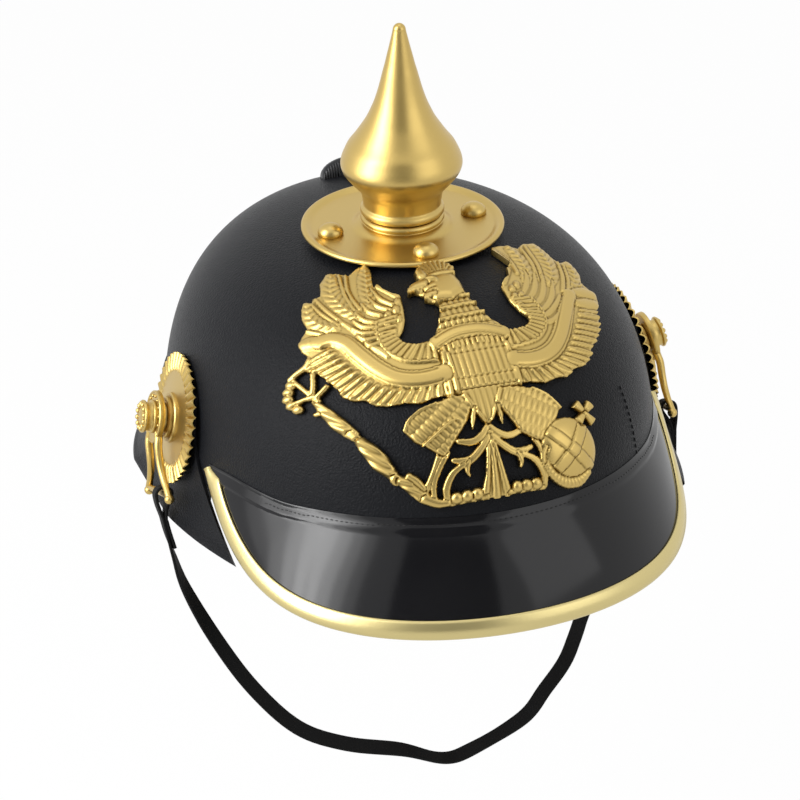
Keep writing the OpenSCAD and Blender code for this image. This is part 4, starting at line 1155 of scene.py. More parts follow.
def tube(route, radii, sides=20):
    """A round rod along a route, with a radius at each of its points."""
    route = np.asarray(route, float)
    flow = unit(np.gradient(route, axis=0))
    away = np.array([0.0, 0.0, 1.0]) if abs(flow[0, 2]) < 0.8 else np.array([0.0, 1.0, 0.0])
    beside = unit(np.cross(flow, away))
    other = np.cross(beside, flow)
    turns = np.arange(sides) * 2 * math.pi / sides
    circle = beside[:, None] * np.cos(turns)[None, :, None] + other[:, None] * np.sin(turns)[None, :, None]
    return rod(route[:, None] + circle * np.asarray(radii, float)[:, None, None])


class HELMET_OT_lugs(bpy.types.Operator):
    """Makes the two lugs: a disc with a raised edge, two curved legs and the bar for the strap"""

    bl_idname = "helmet.lugs"
    bl_label = "Lugs"

    def execute(self, context):
        low, high = LUG_SEAT, LUG_SEAT + LUG_THICKNESS
        disc = [
            (2.6, low), (10.1, low), (10.4, low + 0.4), (10.4, high), (10.1, high + 0.35),
            (9.7, high + 0.35), (9.4, high), (2.6, high),
        ]
        parts = [ring_lathe(disc, 96)]
        for s in (-1, 1):
            route = [(s * 5.2, -5.5, low + 1.0), (s * 6.4, -8.6, low + 1.0), (s * 6.7, -11.2, low + 1.0)]
            route += [bent(s * across, drop) for across, drop in LUG_LEG]
            route = smooth_route(route, 5)
            radii = np.interp(
                np.linspace(0.0, 1.0, len(route)), [0.0, 0.3, 0.7, 0.9, 1.0], [1.7, 1.6, 1.35, 1.5, 1.7])
            parts.append(tube(route, radii))
            parts.append(ball(bent(s * LUG_LEG[-1][0], LUG_LEG[-1][1]), BALL_RADIUS))
        bar = [bent(across, LUG_DROP) for across in np.linspace(-LUG_HALF_WIDTH, LUG_HALF_WIDTH, 9)]
        parts.append(tube(bar, np.full(len(bar), BAR_RADIUS)))
        on_both_sides("_lug", "_stirrup", joined(parts), 40.0, swing=sizes().hang_angle)
        return {"FINISHED"}


class HELMET_OT_knobs(bpy.types.Operator):
    """Makes the two threaded knobs that hold the lugs"""

    bl_idname = "helmet.knobs"
    bl_label = "Knobs"

    def execute(self, context):
        profile = [(0.0, 4.75), (2.6, 4.75), (2.6, 0.0), (6.3, 0.0), (6.5, 0.25), (6.5, 0.85), (6.25, 1.15),
                   (5.75, 1.35), (5.65, 1.8), (5.65, 3.3), (5.8, 3.55), (6.3, 3.7), (6.5, 4.0), (6.5, 4.5),
                   (6.25, 4.8), (5.8, 4.85), (3.6, 4.85), (3.3, 5.1), (2.3, 5.35), (0.0, 5.4)]
        points, faces = lathe(profile, 72)
        on_both_sides("_knob", "_turned", (points + np.array([0.0, 0.0, KNOB_SEAT]), faces), 50.0)
        return {"FINISHED"}


# Rear spine with the ribbed boss at its top

SPINE_HALF_WIDTH = 5.5
SPINE_THICKNESS = 1.6
BOSS_Y = 71.0
BOSS_TILT = 16.0
BOSS_HALF_WIDTH = 12.6
BOSS_HEIGHT = 6.4
BOSS_HALF_DEPTH = 3.2
BOSS_GAP = 0.45
BOSS_TONGUE = 2.3
BOSS_ROOT = -2.5
BOSS_RIB_PITCH = 1.1
BOSS_RIB_DEPTH = 0.16


class HELMET_OT_rear_spine(bpy.types.Operator):
    """Makes the band down the back of the shell and the ribbed boss at its top"""

    bl_idname = "helmet.rear_spine"
    bl_label = "Rear spine"

    def execute(self, context):
        lifts = np.linspace(lift_at(GUARD_TOP + 2.0), lift_at(crown_z(0.0, mm("plate_radius") + 2.0)), 60)
        x = np.linspace(-SPINE_HALF_WIDTH, SPINE_HALF_WIDTH, 17)

        def band(grow, edge):
            centre = crown_point(180.0, lifts, grow)[:, None, :]
            sunk = edge * ease((np.abs(x) - SPINE_HALF_WIDTH + 1.2) / 1.2)[None, :]
            y = centre[..., 1] * np.sqrt(1.0 - (x[None, :] / mm("half_width")) ** 2)
            return np.stack([np.broadcast_to(x[None, :], y.shape), y, centre[..., 2] - sunk], axis=-1)

        parts = [thick_sheet(band(0.2 + SPINE_THICKNESS, 0.5), band(0.2, 0.0))]
        tilt = math.radians(BOSS_TILT)
        foot = np.array([0.0, BOSS_Y, crown_z(0.0, BOSS_Y) + 1.0])
        up = np.array([0.0, math.sin(tilt), math.cos(tilt)])
        front = np.array([0.0, -math.cos(tilt), math.sin(tilt)])
        shares = np.linspace(0.0, 1.0, 16)[None, :]
        for start, end in ((-BOSS_HALF_WIDTH, -BOSS_TONGUE - BOSS_GAP), (-BOSS_TONGUE, BOSS_TONGUE),
                           (BOSS_TONGUE + BOSS_GAP, BOSS_HALF_WIDTH)):
            across = np.linspace(start, end, 48)[:, None]
            crest = BOSS_HEIGHT * np.sqrt(np.clip(1.0 - (across / BOSS_HALF_WIDTH) ** 2, 0.01, 1.0))
            rise = BOSS_ROOT + (crest - BOSS_ROOT) * shares
            thick = BOSS_HALF_DEPTH * np.sqrt(1.0 - 0.93 * shares**4)
            thick = thick + BOSS_RIB_DEPTH * np.cos(2 * np.pi * across / BOSS_RIB_PITCH)

            def side(sign):
                depth = np.broadcast_to(sign * thick, rise.shape)[..., None]
                flat = np.broadcast_to(across, rise.shape)[..., None] * np.array([1.0, 0.0, 0.0])
                return foot + flat + rise[..., None] * up + depth * front

            parts.append(thick_sheet(side(1.0), side(-1.0)))
        bend = ((-0.8, -0.4), (0.6, -0.3), (1.5, 0.3), (1.9, 1.1))
        hook = smooth_route([foot + up * (BOSS_HEIGHT + rise) + front * ahead for rise, ahead in bend], 4)
        parts.append(tube(hook, np.linspace(0.75, 0.5, len(hook)), 12))
        stand_in("rear_spine", "rear_spine_band", joined(parts), "dark_band", smooth=50.0)
        return {"FINISHED"}


# Rows of stitches and beads, made with Geometry Nodes

STITCH_BELOW_SEAM = 3.0
LUG_ARC = 8.4
KNOB_RING = 4.85
KNOB_BEAD_HEIGHT = 4.75
ROW_INPUTS = {
    "Count": "NodeSocketInt",
    "Length": "NodeSocketFloat",
    "Width": "NodeSocketFloat",
    "Material": "NodeSocketMaterial",
}


def row_tree():
    """Sets rounded grains in an even row along each path."""
    tree = bpy.data.node_groups.new("Row along a path", "GeometryNodeTree")
    face = tree.interface
    face.new_socket("Geometry", in_out="INPUT", socket_type="NodeSocketGeometry")
    for name, kind in ROW_INPUTS.items():
        face.new_socket(name, in_out="INPUT", socket_type=kind)
    face.new_socket("Geometry", in_out="OUTPUT", socket_type="NodeSocketGeometry")

    def node(kind):
        return tree.nodes.new(kind)

    given, result = node("NodeGroupInput"), node("NodeGroupOutput")
    curve, spread = node("GeometryNodeMeshToCurve"), node("GeometryNodeResampleCurve")
    spread.mode = "COUNT"
    grain = node("GeometryNodeMeshUVSphere")
    grain.inputs["Segments"].default_value = 12
    grain.inputs["Rings"].default_value = 8
    grain.inputs["Radius"].default_value = 0.5
    tangent, align = node("GeometryNodeInputTangent"), node("FunctionNodeAlignRotationToVector")
    align.axis = "X"
    scale, place = node("ShaderNodeCombineXYZ"), node("GeometryNodeInstanceOnPoints")
    real, smooth = node("GeometryNodeRealizeInstances"), node("GeometryNodeSetShadeSmooth")
    dress = node("GeometryNodeSetMaterial")
    link = tree.links.new
    link(given.outputs["Geometry"], curve.inputs["Mesh"])
    link(curve.outputs["Curve"], spread.inputs["Curve"])
    link(given.outputs["Count"], spread.inputs["Count"])
    link(spread.outputs["Curve"], place.inputs["Points"])
    link(grain.outputs["Mesh"], place.inputs["Instance"])
    link(tangent.outputs["Tangent"], align.inputs["Vector"])
    link(align.outputs["Rotation"], place.inputs["Rotation"])
    link(given.outputs["Length"], scale.inputs["X"])
    link(given.outputs["Width"], scale.inputs["Y"])
    link(given.outputs["Width"], scale.inputs["Z"])
    link(scale.outputs["Vector"], place.inputs["Scale"])
    link(place.outputs["Instances"], real.inputs["Geometry"])
    link(real.outputs["Geometry"], smooth.inputs["Geometry"])
    link(smooth.outputs["Geometry"], dress.inputs["Geometry"])
    link(given.outputs["Material"], dress.inputs["Material"])
    link(dress.outputs["Geometry"], result.inputs["Geometry"])
    return tree


def row(tree, name, routes, closed, count, length, width, slot, body):
    """A row of grains along each route, as one plain mesh. All sizes are in millimetres."""
    points = []
    edges = []
    for route in routes:
        start = len(points)
        points.extend((np.asarray(route, float) * MM).tolist())
        edges.extend((k, k + 1) for k in range(start, len(points) - 1))
        if closed:
            edges.append((len(points) - 1, start))
    mesh = bpy.data.meshes.new(name)
    mesh.from_pydata(points, edges, [])
    piece = bpy.data.objects.new(name, mesh)
    bpy.context.scene.collection.objects.link(piece)
    modifier = piece.modifiers.new("row", "NODES")
    modifier.node_group = tree
    values = {"Count": count, "Length": length * MM, "Width": width * MM, "Material": finish(slot)}
    for item in tree.interface.items_tree:
        if item.in_out == "INPUT" and item.name in values:
            modifier[item.identifier] = values[item.name]
    solid = bpy.data.meshes.new_from_object(piece.evaluated_get(bpy.context.evaluated_depsgraph_get()))
    piece.modifiers.clear()
    piece.data = solid
    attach(piece, body)


class HELMET_OT_rows(bpy.types.Operator):
    """Sets the stitches and the rows of small beads"""

    bl_idname = "helmet.rows"
    bl_label = "Stitches and beads"

    def execute(self, context):
        tree = row_tree()
        line = shell_point(42.3, np.linspace(65.5, 40.0, 24), 0.12)
        row(tree, "front_stitches", [line], False, 11, 1.7, 0.7, "patent_black", "helmet")
        degrees = np.linspace(-66.0, 66.0, 161)
        face = visor_surface(degrees, np.linspace(0.0, 1.0, 81))
        below = np.linalg.norm(face - face[:, :1], axis=-1)
        across = np.argmin(np.abs(below - STITCH_BELOW_SEAM), axis=1)
        raised = lifted(face, STEP_HEIGHT + 0.05)
        line = raised[np.arange(len(degrees)), across]
        row(tree, "visor_stitches", [line], False, 96, 1.3, 0.45, "patent_black", "helmet")
        angles = np.arange(0.0, 360.0, 3.0)
        inset = BAND_INSET - BAND_THICKNESS - 0.1
        rises = (STITCH_INSET, BAND_HEIGHT - STITCH_INSET)
        loops = [shell_point(angles, band_low(angles) + rise, inset) for rise in rises]
        row(tree, "sweatband_stitches", loops, True, 190, 1.8, 0.6, "black_cord", "helmet")
        arc = circle_points(LUG_ARC, np.linspace(-42.0, 222.0, 60), LUG_SEAT + LUG_THICKNESS)
        ring = circle_points(KNOB_RING, np.arange(0.0, 360.0, 6.0), KNOB_SEAT + KNOB_BEAD_HEIGHT)
        for side, name in SIDES:
            lug = on_post(side, sizes().hang_angle)
            row(tree, name + "_lug_beads", [lug(arc)], False, 12, 1.3, 1.3, "gilt", name + "_lug")
            row(tree, name + "_knob_beads", [on_post(side)(ring)], True, 12, 2.3, 2.3, "gilt",
                name + "_knob")
        return {"FINISHED"}


# Eagle plate. Its outlines are drawn in millimetres in the view along the tilted axis.

EAGLE_TILT = 40.0
EAGLE_DROP = 12.0
EAGLE_CELL = 0.36
EAGLE_LOW = (-70.0, -34.0)
EAGLE_HIGH = (63.0, 72.5)
EAGLE_BACK = 0.7
LEAST_HEIGHT = 0.35
# depth below the surroundings at which the eagle's painted shade is darkest
PAINTED_SHADE_DEPTH = 0.17

LEFT_WING = [
    (-13, 31.5), (-20, 31), (-24, 32.5), (-25, 35), (-22.5, 38), (-20.5, 42), (-19.5, 46), (-18.2, 52),
    (-21, 53.5), (-23.5, 56.5), (-24.5, 59.5), (-26.5, 57.5), (-25.5, 62), (-24, 66), (-23.3, 70.5),
    (-27, 70.5), (-31, 68), (-32.5, 67), (-36, 69.5), (-40, 69.5), (-43.5, 66), (-45, 60.5), (-48, 60),
    (-49, 58.5), (-51, 59), (-53, 56), (-54.5, 51), (-54, 47.5), (-56, 45.5), (-58.5, 42.5), (-58.5, 39),
    (-57, 36.5), (-58.5, 34), (-60, 31.5), (-57.5, 29.5), (-55, 28), (-53, 24), (-51, 21), (-50, 17),
    (-47, 14.5), (-43, 13.5), (-40, 10.5), (-36, 9.2), (-30, 9), (-25, 7.5), (-20, 8.5), (-13, 8.5),
]
RIGHT_WING = [
    (13, 31.5), (17, 30.5), (22, 31), (24.5, 32.5), (25.5, 34.5), (23, 38), (21, 43), (20.5, 50), (23, 52.5),
    (25.5, 54), (26.5, 58), (29, 60), (27.5, 63), (25, 67.5), (26.5, 70), (30, 70.5), (34, 69.5), (36.5, 68),
    (40, 70.5), (44, 70), (47.5, 66), (49, 62), (51, 59.5), (54, 60), (57, 57.5), (57.8, 53), (56.5, 49),
    (58.5, 46.5), (61, 43.5), (60.5, 40), (58, 37), (56.5, 34.5), (56.5, 31.5), (55, 28), (51, 22.5),
    (48, 20.5), (46.5, 17), (43, 13.5), (40, 12.5), (37, 12), (33, 9), (28, 9), (23, 7.5), (17, 8.5),
    (11, 8.5),
]
BODY = [
    (-14, 32), (-13, 32.5), (-10.5, 36), (-8, 40.5), (-6.5, 45), (-7, 46.5), (-11, 48.3), (-9.8, 50),
    (-11.5, 51.8), (-13, 52.6), (-16, 52), (-14.6, 54.4), (-12, 55.4), (-9, 56.8), (-9.8, 59), (-9.4, 62),
    (-6, 64.6), (0, 65.3), (4, 64), (6.2, 61), (5.2, 58), (6, 54.5), (6, 50), (6.8, 45), (8, 40.5),
    (10.5, 36), (14, 32.5), (13, 25), (12.5, 7.5), (5, 8), (2, 2.5), (0, -3), (-3, -5), (-5.5, -3),
    (-7.5, 2.5), (-10, 7.5), (-14, 8),
]
LEFT_THIGH = [
    (-33, -1), (-31, 2.6), (-26, 5.5), (-20, 6.8), (-13, 8.6), (-8, 8.6), (-7.6, 2.5), (-10, -2),
    (-15, -7.5), (-20, -13.2), (-22, -12.6), (-26, -9), (-30, -6),
]
RIGHT_THIGH = [
    (2, 8.6), (9, 8.8), (17, 6.2), (22, 3), (26.4, -2.4), (24, -6), (16, -13.4), (14, -13), (8.5, -9.5),
    (5.6, -4), (1.6, 2.5),
]


class Relief:
    """Heights over a grid of the drawing, and how far each place is inside the plate's outline."""

    def __init__(self):
        self.p = np.arange(EAGLE_LOW[0], EAGLE_HIGH[0], EAGLE_CELL)
        self.q = np.arange(EAGLE_LOW[1], EAGLE_HIGH[1], EAGLE_CELL)
        self.height = np.zeros((len(self.p), len(self.q)))
        self.outside = np.full((len(self.p), len(self.q)), 9.0)

    def window(self, points, margin):
        """The part of the grid round some points, with its own places."""
        points = np.asarray(points, float)
        low = points.min(axis=0) - margin
        high = points.max(axis=0) + margin
        i = slice(*np.searchsorted(self.p, [low[0], high[0]]))
        j = slice(*np.searchsorted(self.q, [low[1], high[1]]))
        return i, j, self.p[i][:, None], self.q[j][None, :]

    def lay(self, i, j, gap, top, outline):
        """Lays a raised shape over what is there: gap is the distance outside it, top its height inside."""
        part = self.height[i, j]
        self.height[i, j] = np.where(gap < 0, top, part)
        if outline:
            self.outside[i, j] = np.minimum(self.outside[i, j], gap)

    def polygon(self, points, level, edge=0.7, outline=True, pattern=None):
        i, j, p, q = self.window(points, 2.0)
        gap = polygon_gap(p, q, points)
        top = level * np.sqrt(np.clip(1.0 - np.clip(1.0 + gap / edge, 0.0, 1.0) ** 2, 0.05, 1.0))
        if pattern is not None:
            top = top + pattern(p, q, gap)
        self.lay(i, j, gap, top, outline)

    def stroke(self, route, widths, level, dome, outline=False, barbs=0.0, pitch=2.0, slant=0.9, rib=0.0,
               twist=0.0):
        """A raised band along a route. widths are its half widths along it, dome the rise of its middle."""
        route = drawn(route)
        i, j, p, q = self.window(route, max(widths) + 1.5)
        gap, run, share, side = route_gap(p, q, route)
        width = np.interp(share, np.linspace(0.0, 1.0, len(widths)), widths)
        across = np.clip(gap / width, 0.0, 1.0)
        top = level + dome * np.sqrt(np.clip(1.0 - across**2, 0.0, 1.0))
        if barbs:
            wave = np.cos(2 * np.pi * (run - slant * gap) / pitch)
            top = top + barbs * wave * np.clip(1.3 - across, 0.0, 1.0)
        if twist:
            top = top + twist * np.cos(2 * np.pi * (run - 2.6 * side * gap) / pitch)
        if rib:
            top = top + rib * np.exp(-((gap / 0.45) ** 2))
        self.lay(i, j, gap - width, top, outline)

    def groove(self, route, half_width, depth):
        route = drawn(route)
        i, j, p, q = self.window(route, half_width + 1.5)
        gap = route_gap(p, q, route)[0]
        self.height[i, j] -= depth * np.exp(-((gap / half_width) ** 2))


def drawn(route):
    """A route of the drawing, rounded where it has more than two points."""
    return smooth_route(route, 4) if len(route) > 2 else np.asarray(route, float)


def polygon_gap(p, q, points):
    """Distance outside a polygon, negative inside."""
    corners = np.asarray(points, float)
    after = np.roll(corners, -1, axis=0)
    nearest = np.full(np.broadcast(p, q).shape, 1e9)
    inside = np.zeros(nearest.shape, bool)
    for (ax, ay), (bx, by) in zip(corners, after):
        dx, dy = bx - ax, by - ay
        t = np.clip(((p - ax) * dx + (q - ay) * dy) / (dx * dx + dy * dy), 0.0, 1.0)
        nearest = np.minimum(nearest, (p - ax - t * dx) ** 2 + (q - ay - t * dy) ** 2)
        if ay != by:
            crosses = (ay > q) != (by > q)
            inside ^= crosses & (p < (bx - ax) * (q - ay) / (by - ay) + ax)
    return np.where(inside, -1.0, 1.0) * np.sqrt(nearest)


def route_gap(p, q, route):
    """Distance from a route, the run along it, its share, and the side, 1 to the left of the way along."""
    shape = np.broadcast(p, q).shape
    nearest = np.full(shape, 1e9)
    run = np.zeros(shape)
    side = np.ones(shape)
    total = 0.0
    for (ax, ay), (bx, by) in zip(route[:-1], route[1:]):
        dx, dy = bx - ax, by - ay
        long = math.hypot(dx, dy)
        if long < 1e-6:
            continue
        t = np.clip(((p - ax) * dx + (q - ay) * dy) / (long * long), 0.0, 1.0)
        gap = (p - ax - t * dx) ** 2 + (q - ay - t * dy) ** 2
        closer = gap < nearest
        nearest = np.where(closer, gap, nearest)
        run = np.where(closer, total + t * long, run)
        side = np.where(closer, np.sign(dx * (q - ay) - dy * (p - ax) + 1e-9), side)
        total += long
    return np.sqrt(nearest), run, run / total, side


def brick(turn_degrees, pitch_along, pitch_across, depth):
    """A pattern of small laid feathers, as bricks turned by an angle."""
    c, s = math.cos(math.radians(turn_degrees)), math.sin(math.radians(turn_degrees))

    def pattern(p, q, gap):
        u = (p * c + q * s) / pitch_along
        v = (-p * s + q * c) / pitch_across
        row = np.floor(v)
        u = u + 0.5 * (row % 2)
        ridge = np.abs(np.sin(np.pi * u)) ** 0.6 * np.abs(np.sin(np.pi * v)) ** 0.4
        return depth * (ridge - 0.6)

    return pattern


def ribs(pitch, depth, centre=0.0, spread=0.0):
    """Upright ribs that draw together downwards by spread."""

    def pattern(p, q, gap):
        narrow = 1.0 + spread * np.clip(q / 30.0, 0.0, 1.0)
        return depth * np.cos(2 * np.pi * (p - centre) / (pitch * narrow))

    return pattern


def between(inner, outer, count):
    """Pairs of places on two lines, spread evenly along them."""
    inner, outer = smooth_route(inner, 8), smooth_route(outer, 8)
    for k in range(count):
        t = int(round(k / (count - 1) * (len(inner) - 1)))
        yield inner[t], outer[t]


def wing_feathers(relief):
    """Everything on the wings above the ribbon, from the long quills to the short inner feathers."""
    long_feathers = [
        ([(-31, 50), (-29.6, 55), (-27.6, 62), (-25.2, 69)], (2.2, 3.4, 3.3, 1.6)),
        ([(-36, 47), (-39.4, 52), (-41.2, 60), (-38.6, 67.6)], (2.4, 3.6, 3.9, 2.2)),
        ([(-45, 44.5), (-49.4, 47.5), (-51.6, 52), (-51, 57)], (2.2, 3.0, 3.0, 2.0)),
        ([(31.6, 51), (33.6, 56), (34, 62), (32.4, 68)], (2.2, 3.3, 3.3, 2.0)),
        ([(41, 49), (44, 54), (45, 61), (43.6, 67.6)], (2.4, 3.8, 3.9, 2.4)),
        ([(48.6, 46), (52.6, 50), (54.4, 54), (54, 58)], (2.0, 3.0, 3.2, 1.9)),
    ]
    thin_feathers = [
        ([(-34.2, 50), (-35.6, 58), (-33.4, 66.6)], 0.95), ([(-36.4, 50.4), (-37, 58), (-35.6, 67.6)], 0.85),
        ([(-42, 46), (-45.4, 53), (-47.2, 58.8)], 0.95), ([(-43.6, 45.4), (-47.4, 52), (-49.2, 57.2)], 0.75),
        ([(-50, 43.4), (-54.2, 46.4)], 0.8),
        ([(36.4, 51), (38, 59), (37.4, 67.4)], 0.95), ([(38.6, 50.6), (40.2, 59), (39.8, 68.6)], 0.95),
        ([(45, 45), (48.4, 52), (49.8, 59)], 0.95), ([(47, 44.6), (50, 50), (51.8, 58)], 0.75),
        ([(50, 43.6), (55.4, 48)], 0.8), ([(29.6, 55), (29.6, 61), (26, 68.4)], 1.0),
    ]
    for route, widths in long_feathers:
        relief.stroke(route, widths, 0.9, 1.0, barbs=0.22, pitch=2.5, slant=0.75, rib=0.25)
    for route, width in thin_feathers:
        relief.stroke(route, (width, width, width * 0.7), 1.1, 0.9)
    for route in ([(-50.6, 41), (-54.6, 41), (-56.4, 41)], [(50, 44.4), (54.6, 44), (58, 43)],
                  [(49, 39.4), (54, 38.8), (57, 38.6)]):
        relief.stroke(route, (1.8, 2.9, 2.4), 1.0, 1.1)
    # smooth feathers that sweep from the ribbon up to the quills
    for route in (
        [(-33.6, 30.4), (-36.4, 36), (-39, 41.4), (-42.4, 47)], [(-31.4, 28), (-33.4, 31.6), (-36.4, 34.4)],
        [(28.4, 33.6), (34, 35.4), (39.6, 39.6), (42.6, 43)], [(30, 31.4), (35.4, 32.4), (39.4, 35.6)],
        [(28.6, 36), (34.4, 38.4), (39.4, 43.6), (42.4, 50)],
        [(28, 38.6), (33.6, 42), (37.4, 47.4), (39.4, 53)], [(27.6, 41.6), (32, 45.4), (35, 50), (36.4, 54)],
        [(27.4, 45), (30.6, 49), (32.6, 53), (33, 56)],
    ):
        relief.stroke(route, (0.8, 1.2, 1.2, 0.7), 1.05, 0.75)
    # short bright feathers that lie towards the inner edge of the left wing
    for start, end in (
        ((-27.4, 58), (-22.4, 48.8)), ((-30, 54.6), (-24.2, 46.8)), ((-33, 52), (-28.4, 45.6)),
        ((-36.4, 48.6), (-30.6, 42.6)), ((-38.2, 45.6), (-31.8, 40.8)), ((-39.6, 42.6), (-32.4, 38.6)),
        ((-38.6, 38.8), (-33, 36.4)), ((-37, 35.6), (-33, 34)),
    ):
        bend = (mix(start[0], end[0], 0.5) - 0.9, mix(start[1], end[1], 0.5) - 0.9)
        relief.stroke([start, bend, end], (0.6, 1.05, 1.0), 1.1, 1.1)
    for start, end in (((-24.6, 58.4), (-19.8, 52.6)), ((26.6, 57), (22, 51.6)),
                       ((28.4, 60.4), (25.4, 66.6))):
        relief.stroke([start, end], (1.3, 1.6), 1.1, 1.0)
    for x, y in ((-26, 44.6), (-22.4, 46.4), (-23, 42.4), (-27.4, 41.4), (-20.6, 49.4),
                 (24, 47.6), (23.2, 43.8), (24, 40), (25.4, 36.6), (26.4, 49), (26, 44)):
        relief.stroke([(x, y), (x + 0.5, y + 0.9)], (1.5, 1.3), 0.9, 1.3)
    for edge, rim in (
        ([(-22, 44), (-24.6, 38.6), (-25.4, 35), (-23.4, 32), (-18.6, 30.6), (-14.6, 30.6)],
         [(-30.6, 43), (-32, 38), (-31.8, 33), (-29.4, 28), (-24, 24), (-15, 22.6)]),
        ([(22.6, 43), (23.4, 38.6), (25.4, 35), (23.4, 31.6), (18.6, 30.6), (14.6, 30.6)],
         [(29.6, 43), (31.4, 38), (31.6, 33), (29.4, 28.4), (24, 24.6), (14, 23)]),
    ):
        relief.stroke(rim, (0.7, 0.7), 1.3, 0.7)
        for near, far in between(edge, rim, 15):
            relief.stroke([mix(near, far, 0.08), mix(near, far, 0.86)], (0.62, 0.95), 1.0, 0.85)


def wing_fringe(relief):
    """Leaves along the lower edge of each wing, outside the ribbon."""
    for inner, outer in (
        ([(-49, 36), (-46, 30), (-42.6, 24), (-37.6, 18), (-31, 14), (-22, 12.6), (-14.6, 12.8)],
         [(-58.6, 33), (-56, 28), (-51.4, 20), (-44.6, 13.4), (-36, 9.6), (-25, 8), (-14.6, 8.6)]),
        ([(49, 36), (45, 30), (40.6, 24), (35.4, 18), (29, 14.6), (21, 13), (13, 13)],
         [(58, 35), (55.6, 28), (50, 22), (44.6, 15), (36, 11), (25, 8), (12.6, 8.8)]),
    ):
        for k, (root, beyond) in enumerate(between(inner, outer, 17)):
            tip = mix(root, beyond, 0.98)
            wide = 1.35 if k % 2 else 1.0
            relief.stroke([root, tip], (wide * 0.8, wide, wide * 0.7), 1.0, 1.0)
            relief.groove([mix(root, tip, 0.25), mix(root, tip, 0.85)], 0.32, 0.4)


def ribbons(relief):
    """The ribbon over both wings and the arch over the chest, with their border lines."""
    for route in (
        [(-52, 40.2), (-47.6, 40.4), (-43.4, 37.4), (-40.4, 31.6), (-36.4, 25), (-31.6, 19.8), (-26, 17.2),
         (-20, 16.4), (-14, 17)],
        [(47, 43), (43.6, 38), (40, 32.6), (35.6, 26), (30.6, 20.8), (25, 18), (19, 17.2), (13, 18)],
    ):
        relief.stroke(route, (2.6, 3.4, 3.4, 3.4), 1.9, 0.5)
        middle = smooth_route(route, 6)
        flow = unit(np.gradient(middle, axis=0))
        beside = np.stack([-flow[:, 1], flow[:, 0]], axis=1)
        for shift in (-2.5, 2.5):
            relief.groove((middle + beside * shift)[2:-1:2], 0.42, 0.55)
    relief.stroke([(-13.4, 29.2), (-7, 31.6), (-0.6, 32.4), (6, 31.6), (12.6, 29.2)], (2.5, 2.7, 2.5), 2.2,
                  0.5)
    for shift in (-1.9, 1.9):
        relief.groove([(-13, 29.2 + shift), (-7, 31.6 + shift), (-0.6, 32.4 + shift), (6, 31.6 + shift),
                       (12.2, 29.2 + shift)], 0.4, 0.5)


